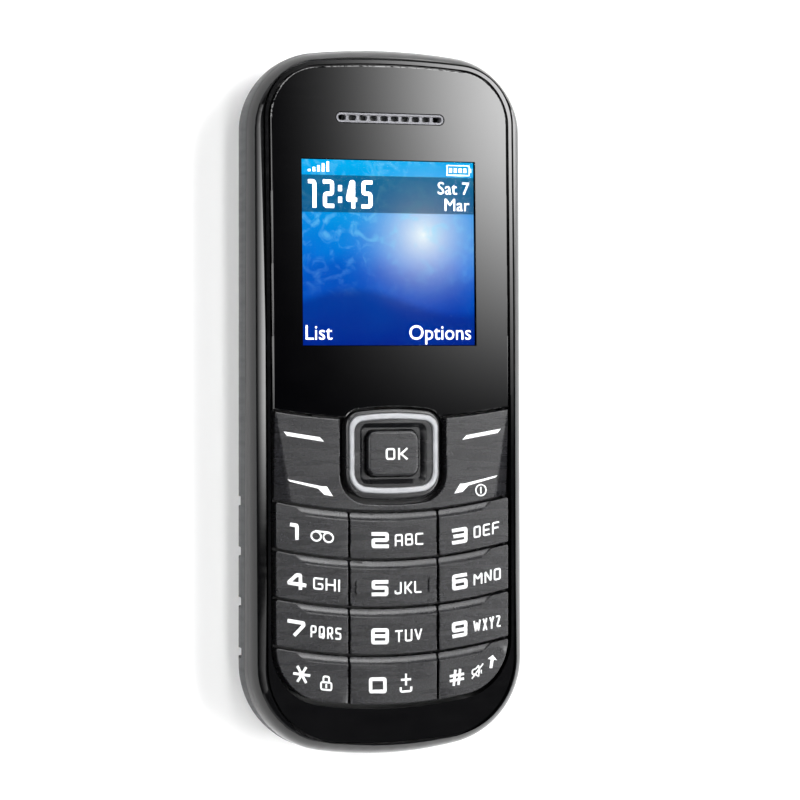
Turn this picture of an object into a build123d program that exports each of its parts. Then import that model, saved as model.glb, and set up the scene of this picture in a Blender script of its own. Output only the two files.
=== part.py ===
from build123d import *
from math import cos, radians, sin, sqrt
import os

os.makedirs("parts", exist_ok=True)

# Keypad phone lying on its back: X across, Y towards the earpiece, Z out of the screen.

# Outline of the body
body_length = 108.0
body_width = 45.0
body_top_arc = 100.0
body_bottom_arc = 64.0
body_top_corner = 12.0
body_bottom_corner = 13.5

# Levels of the body: the seam rises towards the earpiece, and the front is crowned along its length
shoulder_height = 7.35
seam_height = 8.95
seam_slope_share = 0.025
seam_gap = 0.1
rim_height = 12.9
crown_radius = 2600.0
crown_y = -8.0
frame_rounding = 4.5
frame_angle = radians(57)
back_rounding = 6.5
cover_wall = 0.9
cover_fit = 0.15
overrun = 20.0

# Outline of the front opening in the frame
face_side_inset = 1.95
face_top_inset = 1.4
face_bottom_inset = 1.75
face_top_arc = 140.0
face_bottom_arc = 100.0
face_top_corner = 9.1
face_bottom_corner = 12.3

half_length = body_length / 2
half_width = body_width / 2
face_half = half_width - face_side_inset
face_top = half_length - face_top_inset
face_bottom = -half_length + face_bottom_inset


def joint_points(edge, arc, corner, half, side):
    """Ends and middle of the corner arc between an end arc and a straight side."""
    corner_x = half - corner
    corner_y = edge - arc + sqrt((arc - corner) ** 2 - corner_x**2)
    stretch = arc / (arc - corner)
    start = (corner_x * stretch, edge - arc + (corner_y - edge + arc) * stretch)
    way = Vector(start[0] - corner_x + corner, start[1] - corner_y).normalized() * corner
    middle = (corner_x + way.X, corner_y + way.Y)
    return (start[0], side * start[1]), (middle[0], side * middle[1]), (half, side * corner_y)


def outline(half, top, bottom, top_corner, bottom_corner, top_arc, bottom_arc):
    """Closed outline with straight sides, arched ends and tangent corners."""
    top_start, top_middle, top_end = joint_points(top, top_arc, top_corner, half, 1)
    low_start, low_middle, low_end = joint_points(-bottom, bottom_arc, bottom_corner, half, -1)

    def mirrored(point):
        return (-point[0], point[1])

    with BuildSketch() as shape:
        with BuildLine():
            ThreePointArc(mirrored(top_start), (0, top), top_start)
            ThreePointArc(top_start, top_middle, top_end)
            Line(top_end, low_end)
            ThreePointArc(low_end, low_middle, low_start)
            ThreePointArc(low_start, (0, bottom), mirrored(low_start))
            ThreePointArc(mirrored(low_start), mirrored(low_middle), mirrored(low_end))
            Line(mirrored(low_end), mirrored(top_end))
            ThreePointArc(mirrored(top_end), mirrored(top_middle), mirrored(top_start))
        make_face()
    return shape.sketch


def body_outline(inset):
    return outline(
        half_width - inset,
        half_length - inset,
        inset - half_length,
        body_top_corner - inset,
        body_bottom_corner - inset,
        body_top_arc - inset,
        body_bottom_arc - inset,
    )


def face_outline(inset):
    return outline(
        face_half - inset,
        face_top - inset,
        face_bottom + inset,
        face_top_corner - inset,
        face_bottom_corner - inset,
        face_top_arc - inset,
        face_bottom_arc - inset,
    )


def crown_drop(y):
    """How far the crowned front has fallen at this distance along the phone."""
    return crown_radius - sqrt(crown_radius**2 - (y - crown_y) ** 2)


def under_crown(level):
    """Everything under the crowned surface that peaks at this level."""
    reach = body_length
    low = level - crown_drop(crown_y + reach)
    with BuildPart() as space:
        with BuildSketch(Plane.YZ):
            with BuildLine():
                Polyline(
                    (crown_y - reach, low),
                    (crown_y - reach, -overrun),
                    (crown_y + reach, -overrun),
                    (crown_y + reach, low),
                )
                ThreePointArc((crown_y - reach, low), (crown_y, level), (crown_y + reach, low))
            make_face()
        extrude(amount=body_width, both=True)
    return space.part


def leaning_plane(height, share=1.0):
    """Plane that crosses the phone at this height half way along and rises towards the earpiece."""
    return Plane(origin=(0, 0, height), x_dir=(1, 0, 0), z_dir=(0, -seam_slope_share * share, 1))


back_angles = (90, 67.5, 45, 22.5)


def back_sections(inset):
    """Stacked outlines of the rounded back, from its flat to just under the shoulder."""
    sections = []
    for angle in back_angles:
        share = 1 - sin(radians(angle))
        plane = leaning_plane(inset + (shoulder_height - inset) * share, share)
        sections.append(plane * body_outline(inset + back_rounding * (1 - cos(radians(angle)))))
    return sections


def pan(inset):
    """The inside of the rounded back at this distance from its skin, open to the front."""
    shoulder = leaning_plane(shoulder_height) * body_outline(inset)
    with BuildPart() as space:
        loft(sections=back_sections(inset) + [shoulder])
        extrude(to_extrude=shoulder, amount=overrun, dir=(0, 0, 1))
    return space.part


# Whole outer body: crowned front with a rounded rim, straight shoulder, rounded back
under_rim = under_crown(rim_height)
with BuildPart() as front_block:
    with BuildSketch():
        add(body_outline(0))
    extrude(amount=rim_height + frame_rounding * (1 - sin(frame_angle)))
    fillet(front_block.faces().sort_by(Axis.Z)[-1].edges(), frame_rounding)
    add(under_rim, mode=Mode.INTERSECT)
    split(bisect_by=leaning_plane(shoulder_height), keep=Keep.TOP)
shoulder_face = front_block.faces().sort_by(Axis.Z)[0]

with BuildPart() as hull:
    add(front_block.part)
    loft(sections=back_sections(0) + [shoulder_face])

# Front frame: glossy moulded band between the seam and the trim ring
frame_bottom_height = seam_height + seam_gap
with BuildPart() as front_frame:
    add(hull.part)
    split(bisect_by=leaning_plane(frame_bottom_height), keep=Keep.TOP)
    with BuildSketch():
        add(face_outline(0))
    extrude(amount=overrun, mode=Mode.SUBTRACT)
front_frame.part.label = "front_frame"
export_step(front_frame.part, "parts/front_frame.step")

# Window, trim ring and keypad opening
ring_gap = 0.3
ring_wall = 0.5
window_gap = 0.3
window_inset = ring_gap + ring_wall + window_gap
window_height = 13.0
window_thickness = 0.85
window_edge = 0.25
tape_thickness = 0.1
tape_inset = 0.05
bezel_bottom_height = 10.4
window_bottom_height = window_height - window_thickness
seat_height = window_bottom_height - tape_thickness

# Function plate: its top edge arc sets the lower edge of the window
plate_half = 19.15
plate_top_y = -2.78
plate_top_arc = 117.0
plate_gap = 0.3

# Key rows: each row hangs on an arc with its centre above
row_arc = 86.0
row_gap = 0.4
row_pitch = 7.33
first_row_y = -16.95
keypad_bottom_y = -46.15
keypad_corner = 8.5
keypad_bottom_arc = 74.0
keypad_half = 19.1
column_x = 7.3
column_gap = 0.4
keypad_clearance = 0.7

# Navigation ring and OK key
nav_y = -7.88
nav_half_x = 7.72
nav_half_y = 6.93
nav_top_corner = 2.4
nav_bottom_corner = 3.6
nav_bulge_arc = 45.0
nav_gap = 0.3
ok_y = -7.77
ok_half_x = 4.18
ok_half_y = 3.49
ok_corner = 1.4
ok_gap = 0.2

# Display
display_half = 16.6
display_bottom_y = 5.8
display_top_y = 39.4
display_clearance = 0.6

# Earpiece
earpiece_y = 43.4
earpiece_length = 15.0
earpiece_width = 5.6
slot_length = 17.9
slot_width = 1.75
capsule_clearance = 0.3


def nav_outline(half_x, half_y, top_corner, bottom_corner):
    return outline(half_x, half_y, -half_y, top_corner, bottom_corner, nav_bulge_arc, nav_bulge_arc)


def keypad_outline(extra):
    """Outline of the whole keypad grown by this much, open-ended upwards to the window."""
    return outline(
        keypad_half + extra,
        face_top,
        keypad_bottom_y - extra,
        keypad_corner + extra,
        keypad_corner + extra,
        keypad_bottom_arc + extra,
        keypad_bottom_arc + extra,
    )


# Front bezel: trim ring, window seat, crossbar and chin in one moulding
crossbar_low_y = 1.0
crossbar_top_y = 4.6
seat_half = 17.4
display_opening_top_y = display_top_y + display_clearance
screw_half_x = 18.4
screw_top_y = 34.0
screw_low_x = 9.0
screw_low_y = -49.4
screw_places = (
    (screw_half_x, screw_top_y),
    (-screw_half_x, screw_top_y),
    (screw_low_x, screw_low_y),
    (-screw_low_x, screw_low_y),
)
screw_shank_radius = 0.7
screw_head_radius = 1.4
screw_head_height = 0.9
screw_fit = 0.04
screw_tip_height = 11.1
screw_seat_height = 4.2
pocket_plane = Plane.XY.offset(bezel_bottom_height)
with BuildPart() as over_seat:
    with BuildSketch(pocket_plane):
        add(face_outline(ring_gap + ring_wall))
        add(keypad_outline(keypad_clearance), mode=Mode.INTERSECT)
    extrude(amount=overrun)
    add(under_crown(seat_height), mode=Mode.SUBTRACT)

with BuildPart() as front_bezel:
    add(hull.part)
    split(bisect_by=pocket_plane, keep=Keep.TOP)
    with BuildSketch():
        add(face_outline(ring_gap))
    extrude(amount=overrun, mode=Mode.INTERSECT)
    add(over_seat.part, mode=Mode.SUBTRACT)
    with BuildSketch():
        add(keypad_outline(keypad_clearance))
        with Locations((0, crossbar_low_y)):
            Rectangle(body_width, body_length, align=(Align.CENTER, Align.MAX), mode=Mode.INTERSECT)
    extrude(amount=overrun, mode=Mode.SUBTRACT)
    with BuildSketch():
        with Locations((0, crossbar_top_y)):
            Rectangle(
                2 * seat_half,
                display_opening_top_y - crossbar_top_y,
                align=(Align.CENTER, Align.MIN),
            )
        with Locations((0, earpiece_y)):
            Rectangle(slot_length + 2 * capsule_clearance, earpiece_width + 2 * capsule_clearance)
    extrude(amount=overrun, mode=Mode.SUBTRACT)
    with BuildSketch(pocket_plane):
        with Locations(*screw_places):
            Circle(screw_shank_radius + screw_fit)
    extrude(amount=screw_tip_height + screw_fit - bezel_bottom_height, mode=Mode.SUBTRACT)
front_bezel.part.label = "front_bezel"
export_step(front_bezel.part, "parts/front_bezel.step")


def window_outline(inset):
    """Front outline less the function plate's top edge and the notch for the ring."""
    with BuildSketch() as shape:
        add(face_outline(window_inset + inset))
        with Locations((0, plate_top_y + plate_gap + inset + plate_top_arc)):
            Circle(plate_top_arc, mode=Mode.INTERSECT)
        with Locations((0, nav_y)):
            grow = nav_gap + inset
            add(
                nav_outline(
                    nav_half_x + grow, nav_half_y + grow, nav_top_corner + grow, nav_bottom_corner + grow
                ),
                mode=Mode.SUBTRACT,
            )
    return shape.sketch.faces().sort_by(Axis.Y)[-1]


# Display window: crowned transparent moulding, printed black on its inside round the display
with BuildPart() as display_window:
    with BuildSketch():
        add(window_outline(0))
    extrude(amount=overrun)
    add(under_crown(window_height), mode=Mode.INTERSECT)
    add(under_crown(window_bottom_height), mode=Mode.SUBTRACT)
    fillet(display_window.faces().sort_by(Axis.Z)[-1].edges(), window_edge)
    with BuildSketch():
        with Locations((0, earpiece_y)):
            SlotOverall(slot_length, slot_width)
    extrude(amount=overrun, mode=Mode.SUBTRACT)
display_window.part.label = "display_window"
export_step(display_window.part, "parts/display_window.step")


# Adhesive gasket between window and seat
with BuildPart() as window_tape:
    with BuildSketch():
        add(window_outline(tape_inset))
        with Locations((0, crossbar_top_y)):
            Rectangle(
                2 * seat_half,
                display_opening_top_y - crossbar_top_y,
                align=(Align.CENTER, Align.MIN),
                mode=Mode.SUBTRACT,
            )
        with Locations((0, earpiece_y)):
            Rectangle(
                slot_length + 2 * capsule_clearance,
                earpiece_width + 2 * capsule_clearance,
                mode=Mode.SUBTRACT,
            )
        with Locations((0, crossbar_low_y)):
            Rectangle(
                body_width, body_length, align=(Align.CENTER, Align.MAX), mode=Mode.SUBTRACT
            )
    extrude(amount=overrun)
    add(under_crown(window_bottom_height), mode=Mode.INTERSECT)
    add(under_crown(seat_height), mode=Mode.SUBTRACT)
window_tape.part.label = "window_tape"
export_step(window_tape.part, "parts/window_tape.step")

# Earpiece grille: slotted strip pushed into the window, with a rim and ten rounded holes
grille_fit = 0.15
grille_sink = 0.12
grille_rim = 0.28
grille_floor = 0.35
grille_thickness = 1.2
grille_hole_count = 10
grille_hole_width = 1.3
grille_hole_length = 0.8
grille_hole_corner = 0.3
grille_web = 0.43
grille_height = window_height - crown_drop(earpiece_y) - grille_sink
with BuildPart() as earpiece_grille:
    with BuildSketch(Plane.XY.offset(grille_height - grille_thickness)):
        with Locations((0, earpiece_y)):
            SlotOverall(slot_length - 2 * grille_fit, slot_width - 2 * grille_fit)
    extrude(amount=grille_thickness)
    with BuildSketch(Plane.XY.offset(grille_height)):
        with Locations((0, earpiece_y)):
            SlotOverall(
                slot_length - 2 * (grille_fit + grille_rim), slot_width - 2 * (grille_fit + grille_rim)
            )
    extrude(amount=-grille_floor, mode=Mode.SUBTRACT)
    with BuildSketch(Plane.XY.offset(grille_height)):
        with Locations((0, earpiece_y)):
            with GridLocations(grille_hole_width + grille_web, 0, grille_hole_count, 1):
                RectangleRounded(
                    grille_hole_width,
                    grille_hole_length,
                    grille_hole_corner,
                )
    extrude(amount=-grille_thickness, mode=Mode.SUBTRACT)
earpiece_grille.part.label = "earpiece_grille"
export_step(earpiece_grille.part, "parts/earpiece_grille.step")

# Function plate: one key plate with four press places, hollowed for the ring, sides bevelled down
key_height = 13.3
key_bottom_height = 10.65
rocker_gap = 0.35
rocker_thickness = 0.4
plate_bottom_height = key_bottom_height + rocker_thickness + rocker_gap
plate_bottom_y = first_row_y + row_gap
plate_notch_x = 1.06
plate_notch_y = 0.82
plate_edge = 0.18
crease_top_x = 18.95
crease_top_y = -1.65
crease_low_x = 16.7
crease_low_y = -14.6
facet_angle = radians(17)


def arc_rise(radius, x):
    return radius - sqrt(radius**2 - x**2)


def below_facet(part_height, side):
    """Plane of the bevelled flank, through its crease and falling outwards."""
    start = Vector(side * crease_top_x, crease_top_y, part_height - crown_drop(crease_top_y))
    end = Vector(side * crease_low_x, crease_low_y, part_height - crown_drop(crease_low_y))
    across = Vector(side * cos(facet_angle), 0, -sin(facet_angle))
    normal = (end - start).cross(across) * side
    return Plane(origin=start, z_dir=normal)


with BuildPart() as function_plate:
    with BuildSketch(Plane.XY.offset(plate_bottom_height)):
        with BuildLine():
            top_end = (plate_half, plate_top_y + arc_rise(plate_top_arc, plate_half))
            low_end = (plate_half, plate_bottom_y + arc_rise(row_arc, plate_half))
            ThreePointArc((-top_end[0], top_end[1]), (0, plate_top_y), top_end)
            Line(top_end, low_end)
            ThreePointArc(low_end, (0, plate_bottom_y), (-low_end[0], low_end[1]))
            Line((-low_end[0], low_end[1]), (-top_end[0], top_end[1]))
        make_face()
        with Locations((0, nav_y)):
            Rectangle(
                2 * (nav_half_x + plate_notch_x),
                body_length,
                align=(Align.CENTER, Align.MIN),
                mode=Mode.SUBTRACT,
            )
            add(
                nav_outline(
                    nav_half_x + plate_notch_x,
                    nav_half_y + plate_notch_y,
                    nav_top_corner + plate_notch_y,
                    nav_bottom_corner + plate_notch_y,
                ),
                mode=Mode.SUBTRACT,
            )
    extrude(amount=overrun)
    add(under_crown(key_height), mode=Mode.INTERSECT)
    fillet(function_plate.faces().sort_by(Axis.Z)[-1].edges(), plate_edge)
    for side in (1, -1):
        split(bisect_by=below_facet(key_height, side), keep=Keep.BOTTOM)
function_plate.part.label = "function_plate"
export_step(function_plate.part, "parts/function_plate.step")

# Navigation ring: rocker frame with a lit trim band, dished down to the OK key
nav_height = 13.15
nav_edge = 0.4
band_outer_x = 7.3
band_outer_y = 6.22
band_inner_x = 6.42
band_inner_y = 5.2
band_outer_corner = 2.0
band_inner_corner = 1.5
band_low_corner = 3.0
band_low_inner_corner = 2.2
band_floor_height = 12.75
band_height = 13.5
band_edge = 0.25
band_fit = 0.03
dish_x = 5.5
dish_y = 4.65
dish_corner = 1.3
dish_shelf_height = 13.0
dish_depth = 0.85
dish_slope = 40
with BuildPart() as nav_ring:
    with BuildSketch(Plane.XY.offset(plate_bottom_height)):
        with Locations((0, nav_y)):
            add(nav_outline(nav_half_x, nav_half_y, nav_top_corner, nav_bottom_corner))
    extrude(amount=nav_height - plate_bottom_height)
    fillet(nav_ring.faces().sort_by(Axis.Z)[-1].edges(), nav_edge)
    with BuildSketch(Plane.XY.offset(band_floor_height)):
        with Locations((0, ok_y)):
            add(nav_outline(band_outer_x, band_outer_y, band_outer_corner, band_low_corner))
            add(
                nav_outline(band_inner_x, band_inner_y, band_inner_corner, band_low_inner_corner),
                mode=Mode.SUBTRACT,
            )
    extrude(amount=overrun, mode=Mode.SUBTRACT)
    with BuildSketch(Plane.XY.offset(dish_shelf_height)):
        with Locations((0, ok_y)):
            RectangleRounded(2 * dish_x, 2 * dish_y, dish_corner)
    extrude(amount=overrun, mode=Mode.SUBTRACT)
    with BuildSketch(Plane.XY.offset(dish_shelf_height)):
        with Locations((0, ok_y)):
            RectangleRounded(2 * dish_x, 2 * dish_y, dish_corner)
    extrude(amount=-dish_depth, taper=dish_slope, mode=Mode.SUBTRACT)
    with BuildSketch(Plane.XY):
        with Locations((0, ok_y)):
            RectangleRounded(2 * (ok_half_x + ok_gap), 2 * (ok_half_y + ok_gap), ok_corner)
    extrude(amount=overrun, mode=Mode.SUBTRACT)
nav_ring.part.label = "nav_ring"
export_step(nav_ring.part, "parts/nav_ring.step")

# Trim band of the ring
with BuildPart() as nav_trim:
    with BuildSketch(Plane.XY.offset(band_floor_height)):
        with Locations((0, ok_y)):
            add(
                nav_outline(
                    band_outer_x - band_fit, band_outer_y - band_fit, band_outer_corner, band_low_corner
                )
            )
            add(
                nav_outline(
                    band_inner_x + band_fit,
                    band_inner_y + band_fit,
                    band_inner_corner,
                    band_low_inner_corner,
                ),
                mode=Mode.SUBTRACT,
            )
    extrude(amount=band_height - band_floor_height)
    fillet(nav_trim.faces().sort_by(Axis.Z)[-1].edges(), band_edge)
nav_trim.part.label = "nav_trim"
export_step(nav_trim.part, "parts/nav_trim.step")

# OK key: square cap with a softly crowned top
ok_height = 13.4
ok_edge = 0.45
with BuildPart() as ok_key:
    with BuildSketch(Plane.XY.offset(key_bottom_height)):
        with Locations((0, ok_y)):
            RectangleRounded(2 * ok_half_x, 2 * ok_half_y, ok_corner)
    extrude(amount=ok_height - key_bottom_height)
    fillet(ok_key.faces().sort_by(Axis.Z)[-1].edges(), ok_edge)
ok_key.part.label = "ok_key"
export_step(ok_key.part, "parts/ok_key.step")

# Key caps: each row hangs on its arc, each cap is scooped along its upper edge
scoop_width = 1.25
scoop_depth = 0.42
scoop_start_x = 16.3
scoop_full_x = 14.34
key_edge = 0.16
key_corner = 0.3
key_names = (
    ("key_1", "key_2", "key_3"),
    ("key_4", "key_5", "key_6"),
    ("key_7", "key_8", "key_9"),
    ("key_star", "key_0", "key_hash"),
)
mark_x = 6.0
mark_y = -28.1
mark_length = 2.2
mark_width = 0.6
mark_rise = 0.28


def row_top(row):
    return first_row_y - row * row_pitch


def key_outline(row, column):
    """One key of the grid: between two row arcs, beside the column gaps, inside the keypad outline."""
    with BuildSketch() as shape:
        add(keypad_outline(0))
        if column == 1:
            Rectangle(2 * column_x - column_gap, 2 * body_length, mode=Mode.INTERSECT)
        else:
            with Locations(((column - 1) * (column_x + column_gap / 2), 0)):
                side_align = Align.MIN if column == 2 else Align.MAX
                Rectangle(
                    body_width, 2 * body_length, align=(side_align, Align.CENTER), mode=Mode.INTERSECT
                )
        with Locations((0, row_top(row) + row_arc)):
            Circle(row_arc, mode=Mode.SUBTRACT)
        if row + 1 < len(key_names):
            with Locations((0, row_top(row + 1) + row_gap + row_arc)):
                Circle(row_arc, mode=Mode.INTERSECT)
        corners = shape.vertices().sort_by(Axis.Y)
        fillet(corners if row + 1 < len(key_names) else corners[-2:], key_corner)
    return shape.sketch


def scoop(row):
    """Space cut from the caps of a row: hollowed down to the upper edge, fading at both ends."""
    top = row_top(row)
    level = key_height - crown_drop(top - scoop_width)
    reach = scoop_width
    with BuildPart() as space:
        with BuildSketch(Plane(origin=(0, top + row_arc, level), x_dir=(0, -1, 0), z_dir=(-1, 0, 0))):
            with BuildLine():
                Polyline(
                    (row_arc, -scoop_depth),
                    (row_arc - reach, -scoop_depth),
                    (row_arc - reach, reach),
                    (row_arc + scoop_width, reach),
                    (row_arc + scoop_width, 0),
                )
                TangentArc((row_arc, -scoop_depth), (row_arc + scoop_width, 0), tangent=(1, 0))
            make_face()
        revolve(axis=Axis((0, top + row_arc, 0), (0, 0, 1)))
        start_y = top + arc_rise(row_arc, scoop_start_x)
        full_y = top - scoop_width + arc_rise(row_arc, scoop_full_x)
        run = (scoop_start_x - scoop_full_x) / (start_y - full_y)
        far_y = start_y + reach
        near_y = full_y - reach
        far_x = scoop_start_x + run * reach
        near_x = scoop_full_x - run * reach
        with BuildSketch():
            with BuildLine():
                Polyline((-far_x, far_y), (far_x, far_y), (near_x, near_y), (-near_x, near_y), close=True)
            make_face()
        extrude(amount=overrun, mode=Mode.INTERSECT)
    return space.part


def key_cap(row, column):
    with BuildPart() as cap:
        with BuildSketch(Plane.XY.offset(key_bottom_height)):
            add(key_outline(row, column))
        extrude(amount=overrun)
        add(under_crown(key_height), mode=Mode.INTERSECT)
        fillet(cap.faces().sort_by(Axis.Z)[-1].edges(), key_edge)
        add(scoop(row), mode=Mode.SUBTRACT)
        if key_names[row][column] == "key_5":
            with BuildSketch(Plane.XY.offset(key_bottom_height)):
                with Locations((mark_x, mark_y), (-mark_x, mark_y)):
                    SlotOverall(mark_length, mark_width, rotation=90)
            extrude(amount=key_height + mark_rise - crown_drop(mark_y) - key_bottom_height)
    return cap.part


for row, names in enumerate(key_names):
    for column, name in enumerate(names):
        cap = key_cap(row, column)
        cap.label = name
        export_step(cap, f"parts/{name}.step")


# Inside levels, counted up from the back
bay_height = 6.0
bay_ceiling = 0.8
board_height = 8.1
board_thickness = 0.8
board_top_height = board_height + board_thickness
wall_fit = 0.05
chassis_wall = 1.1
board_fit = 0.15

# Battery and its bay
battery_width = 34.0
battery_length = 46.0
battery_thickness = 4.6
battery_y = -10.0
battery_height = 1.15
battery_corner = 1.2
battery_edge = 0.5
bay_fit = 0.3
battery_top_y = battery_y + battery_length / 2

# SIM card and its channel
sim_width = 25.0
sim_length = 15.0
sim_thickness = 0.76
sim_chamfer = 3.0
sim_y = 23.5
sim_height = 1.65
sim_fit = 0.5
sim_travel = 13.0
sim_channel_height = 2.75
sim_contact_depth = 0.9
sim_contact_width = 12.0
sim_contact_length = 10.0

# Headset jack and charging socket in the top end
jack_x = 9.5
jack_height = 5.6
jack_width = 6.2
jack_thickness = 4.6
jack_length = 12.0
jack_bore_radius = 1.8
jack_collar_radius = 2.1
jack_collar_length = 0.9
jack_end_wall = 1.2
jack_face_y = 49.8
cover_hole_radius = 2.0
socket_x = -7.5
socket_face_y = 51.5
socket_width = 7.5
socket_thickness = 2.45
socket_length = 5.2
socket_wall = 0.3
socket_corner = 0.6
socket_tongue_width = 3.9
socket_tongue_thickness = 0.6
socket_opening_margin = 0.25
pocket_fit = 0.15

# Ringer, microphone and vibration motor in the bottom end
speaker_x = -5.5
speaker_y = -42.0
speaker_width = 18.0
speaker_length = 10.0
speaker_thickness = 3.3
speaker_height = 2.75
speaker_corner = 2.0
speaker_pocket_height = 6.3
gasket_wall = 0.9
gasket_fit = 0.1
motor_radius = 2.0
motor_y = -40.8
motor_height = 4.0
motor_start_x = 5.0
motor_length = 8.0
motor_shaft_radius = 0.4
motor_shaft_length = 4.4
weight_start_x = 13.7
weight_length = 2.9
weight_radius = 1.75
weight_hub_radius = 0.9
weight_fit = 0.05
weight_room = 0.75
motor_pocket_height = 6.5
microphone_height = 5.6
microphone_radius = 1.5
microphone_length = 1.4
microphone_wall = 0.35
microphone_y = -49.0
sound_hole_radius = 0.5

# Contact pads of the battery and the blades that press on them
pad_count = 3
pad_pitch = 3.4
pad_width = 2.0
pad_tall = 2.6
pad_depth = 0.25
pad_sink = 0.05
pad_height = battery_height + battery_thickness / 2
blade_width = 1.2
blade_thickness = 0.2
blade_reach = 0.2
blade_tall = 2.4
blade_slot_depth = 1.6

# Antenna plate under the board
antenna_y = -42.8
antenna_width = 29.0
antenna_length = 11.4
antenna_height = 7.2
antenna_thickness = 0.3

# Relief pocket over the SIM channel
relief_floor_height = 4.6
relief_y = 27.0
relief_width = 31.0
relief_length = 20.0

# Tin cans under the board
can_half = 14.0
can_wall = 0.2
can_thickness = 1.05
can_corner = 0.6
can_spans = ((-28.0, -8.0), (-6.0, 10.0))
can_fit = 0.3

# Chassis: middle tray that carries everything, with the bay open to the back
inner_space = pan(cover_wall + cover_fit)
with BuildPart() as tub:
    add(inner_space)
    with BuildSketch():
        add(face_outline(wall_fit))
    extrude(amount=bezel_bottom_height, mode=Mode.INTERSECT)

with BuildPart() as chassis:
    add(inner_space)
    split(bisect_by=leaning_plane(frame_bottom_height), keep=Keep.BOTTOM)
    add(tub.part)
    with BuildSketch(Plane.XY.offset(board_height)):
        add(face_outline(wall_fit + chassis_wall))
    extrude(amount=overrun, mode=Mode.SUBTRACT)
    with BuildSketch():
        with Locations((0, battery_y)):
            RectangleRounded(battery_width + 2 * bay_fit, battery_length + 2 * bay_fit, battery_corner)
    extrude(amount=bay_height, mode=Mode.SUBTRACT)
    with BuildSketch(Plane.XY.offset(bay_height + bay_ceiling)):
        for low_y, top_y in can_spans:
            with Locations((0, (low_y + top_y) / 2)):
                Rectangle(2 * (can_half + can_fit), top_y - low_y + 2 * can_fit)
    extrude(amount=overrun, mode=Mode.SUBTRACT)
    with BuildSketch(Plane.XY.offset(relief_floor_height)):
        with Locations((0, relief_y)):
            Rectangle(relief_width, relief_length)
    extrude(amount=overrun, mode=Mode.SUBTRACT)
    with BuildSketch():
        with Locations((0, sim_y + sim_travel / 2)):
            Rectangle(sim_width + 2 * sim_fit, sim_length + sim_travel + 2 * sim_fit)
    extrude(amount=sim_channel_height, mode=Mode.SUBTRACT)
    with BuildSketch():
        with Locations((0, sim_y)):
            Rectangle(sim_contact_width + 2 * sim_fit, sim_contact_length + 2 * sim_fit)
    extrude(amount=sim_channel_height + sim_contact_depth, mode=Mode.SUBTRACT)
    with BuildSketch(Plane.XY.offset(board_height)):
        with Locations((jack_x, jack_face_y)):
            Rectangle(
                jack_width + 2 * pocket_fit,
                jack_length + pocket_fit,
                align=(Align.CENTER, Align.MAX),
            )
    extrude(amount=jack_height - jack_thickness / 2 - pocket_fit - board_height, mode=Mode.SUBTRACT)
    with BuildSketch(Plane.XY.offset(board_height)):
        with Locations((socket_x, socket_face_y - socket_length - pocket_fit)):
            Rectangle(
                socket_width + 2 * pocket_fit,
                socket_length + overrun,
                align=(Align.CENTER, Align.MIN),
            )
    extrude(amount=-socket_thickness - pocket_fit, mode=Mode.SUBTRACT)
    with BuildSketch(Plane.XZ.offset(-jack_face_y)):
        with Locations((jack_x, jack_height)):
            Circle(jack_collar_radius + pocket_fit)
    extrude(amount=-overrun, mode=Mode.SUBTRACT)
    with BuildSketch():
        with Locations((speaker_x, speaker_y)):
            RectangleRounded(
                speaker_width + 2 * pocket_fit, speaker_length + 2 * pocket_fit, speaker_corner
            )
    extrude(amount=speaker_pocket_height, mode=Mode.SUBTRACT)
    with BuildSketch():
        with Locations((motor_start_x - pocket_fit, motor_y)):
            Rectangle(
                motor_length + 2 * pocket_fit,
                2 * (motor_radius + pocket_fit),
                align=(Align.MIN, Align.CENTER),
            )
        with Locations((motor_start_x + motor_length, motor_y)):
            Rectangle(
                weight_start_x + weight_length + weight_room - motor_start_x - motor_length,
                2 * (weight_radius + weight_room),
                align=(Align.MIN, Align.CENTER),
            )
    extrude(amount=motor_pocket_height, mode=Mode.SUBTRACT)
    with BuildSketch(Plane.XZ.offset(-microphone_y)):
        with Locations((0, microphone_height)):
            Circle(microphone_radius + microphone_wall + pocket_fit)
    extrude(amount=overrun, mode=Mode.SUBTRACT)
    with BuildSketch(Plane.XY.offset(board_height)):
        with Locations((0, antenna_y)):
            Rectangle(antenna_width + 2 * pocket_fit, antenna_length + 2 * pocket_fit)
    extrude(amount=antenna_height - board_height, mode=Mode.SUBTRACT)
    with BuildSketch(Plane.XY.offset(battery_height - pocket_fit)):
        with Locations((0, battery_top_y)):
            with GridLocations(pad_pitch, 0, pad_count, 1):
                Rectangle(
                    blade_width + 2 * pocket_fit,
                    bay_fit + blade_slot_depth + pocket_fit,
                    align=(Align.CENTER, Align.MIN),
                )
    extrude(amount=bay_height - battery_height + pocket_fit, mode=Mode.SUBTRACT)
    with BuildSketch():
        with Locations(*screw_places):
            Circle(screw_shank_radius + screw_fit)
    extrude(amount=overrun, mode=Mode.SUBTRACT)
    with BuildSketch():
        with Locations(*screw_places):
            Circle(screw_head_radius + pocket_fit)
    extrude(amount=screw_seat_height, mode=Mode.SUBTRACT)
chassis.part.label = "chassis"
export_step(chassis.part, "parts/chassis.step")

# Four screws from the back into the bezel
with BuildPart() as chassis_screws:
    with BuildSketch(Plane.XY.offset(screw_seat_height)):
        with Locations(*screw_places):
            Circle(screw_shank_radius)
    extrude(amount=screw_tip_height - screw_seat_height)
    with BuildSketch(Plane.XY.offset(screw_seat_height)):
        with Locations(*screw_places):
            Circle(screw_head_radius)
    extrude(amount=-screw_head_height)
    with BuildSketch(Plane.XY.offset(screw_seat_height - screw_head_height)):
        with Locations(*screw_places):
            Rectangle(screw_head_radius, screw_head_height / 3)
            Rectangle(screw_head_height / 3, screw_head_radius)
    extrude(amount=screw_head_height / 2, mode=Mode.SUBTRACT)
chassis_screws.part.label = "chassis_screws"
export_step(chassis_screws.part, "parts/chassis_screws.step")

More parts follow.
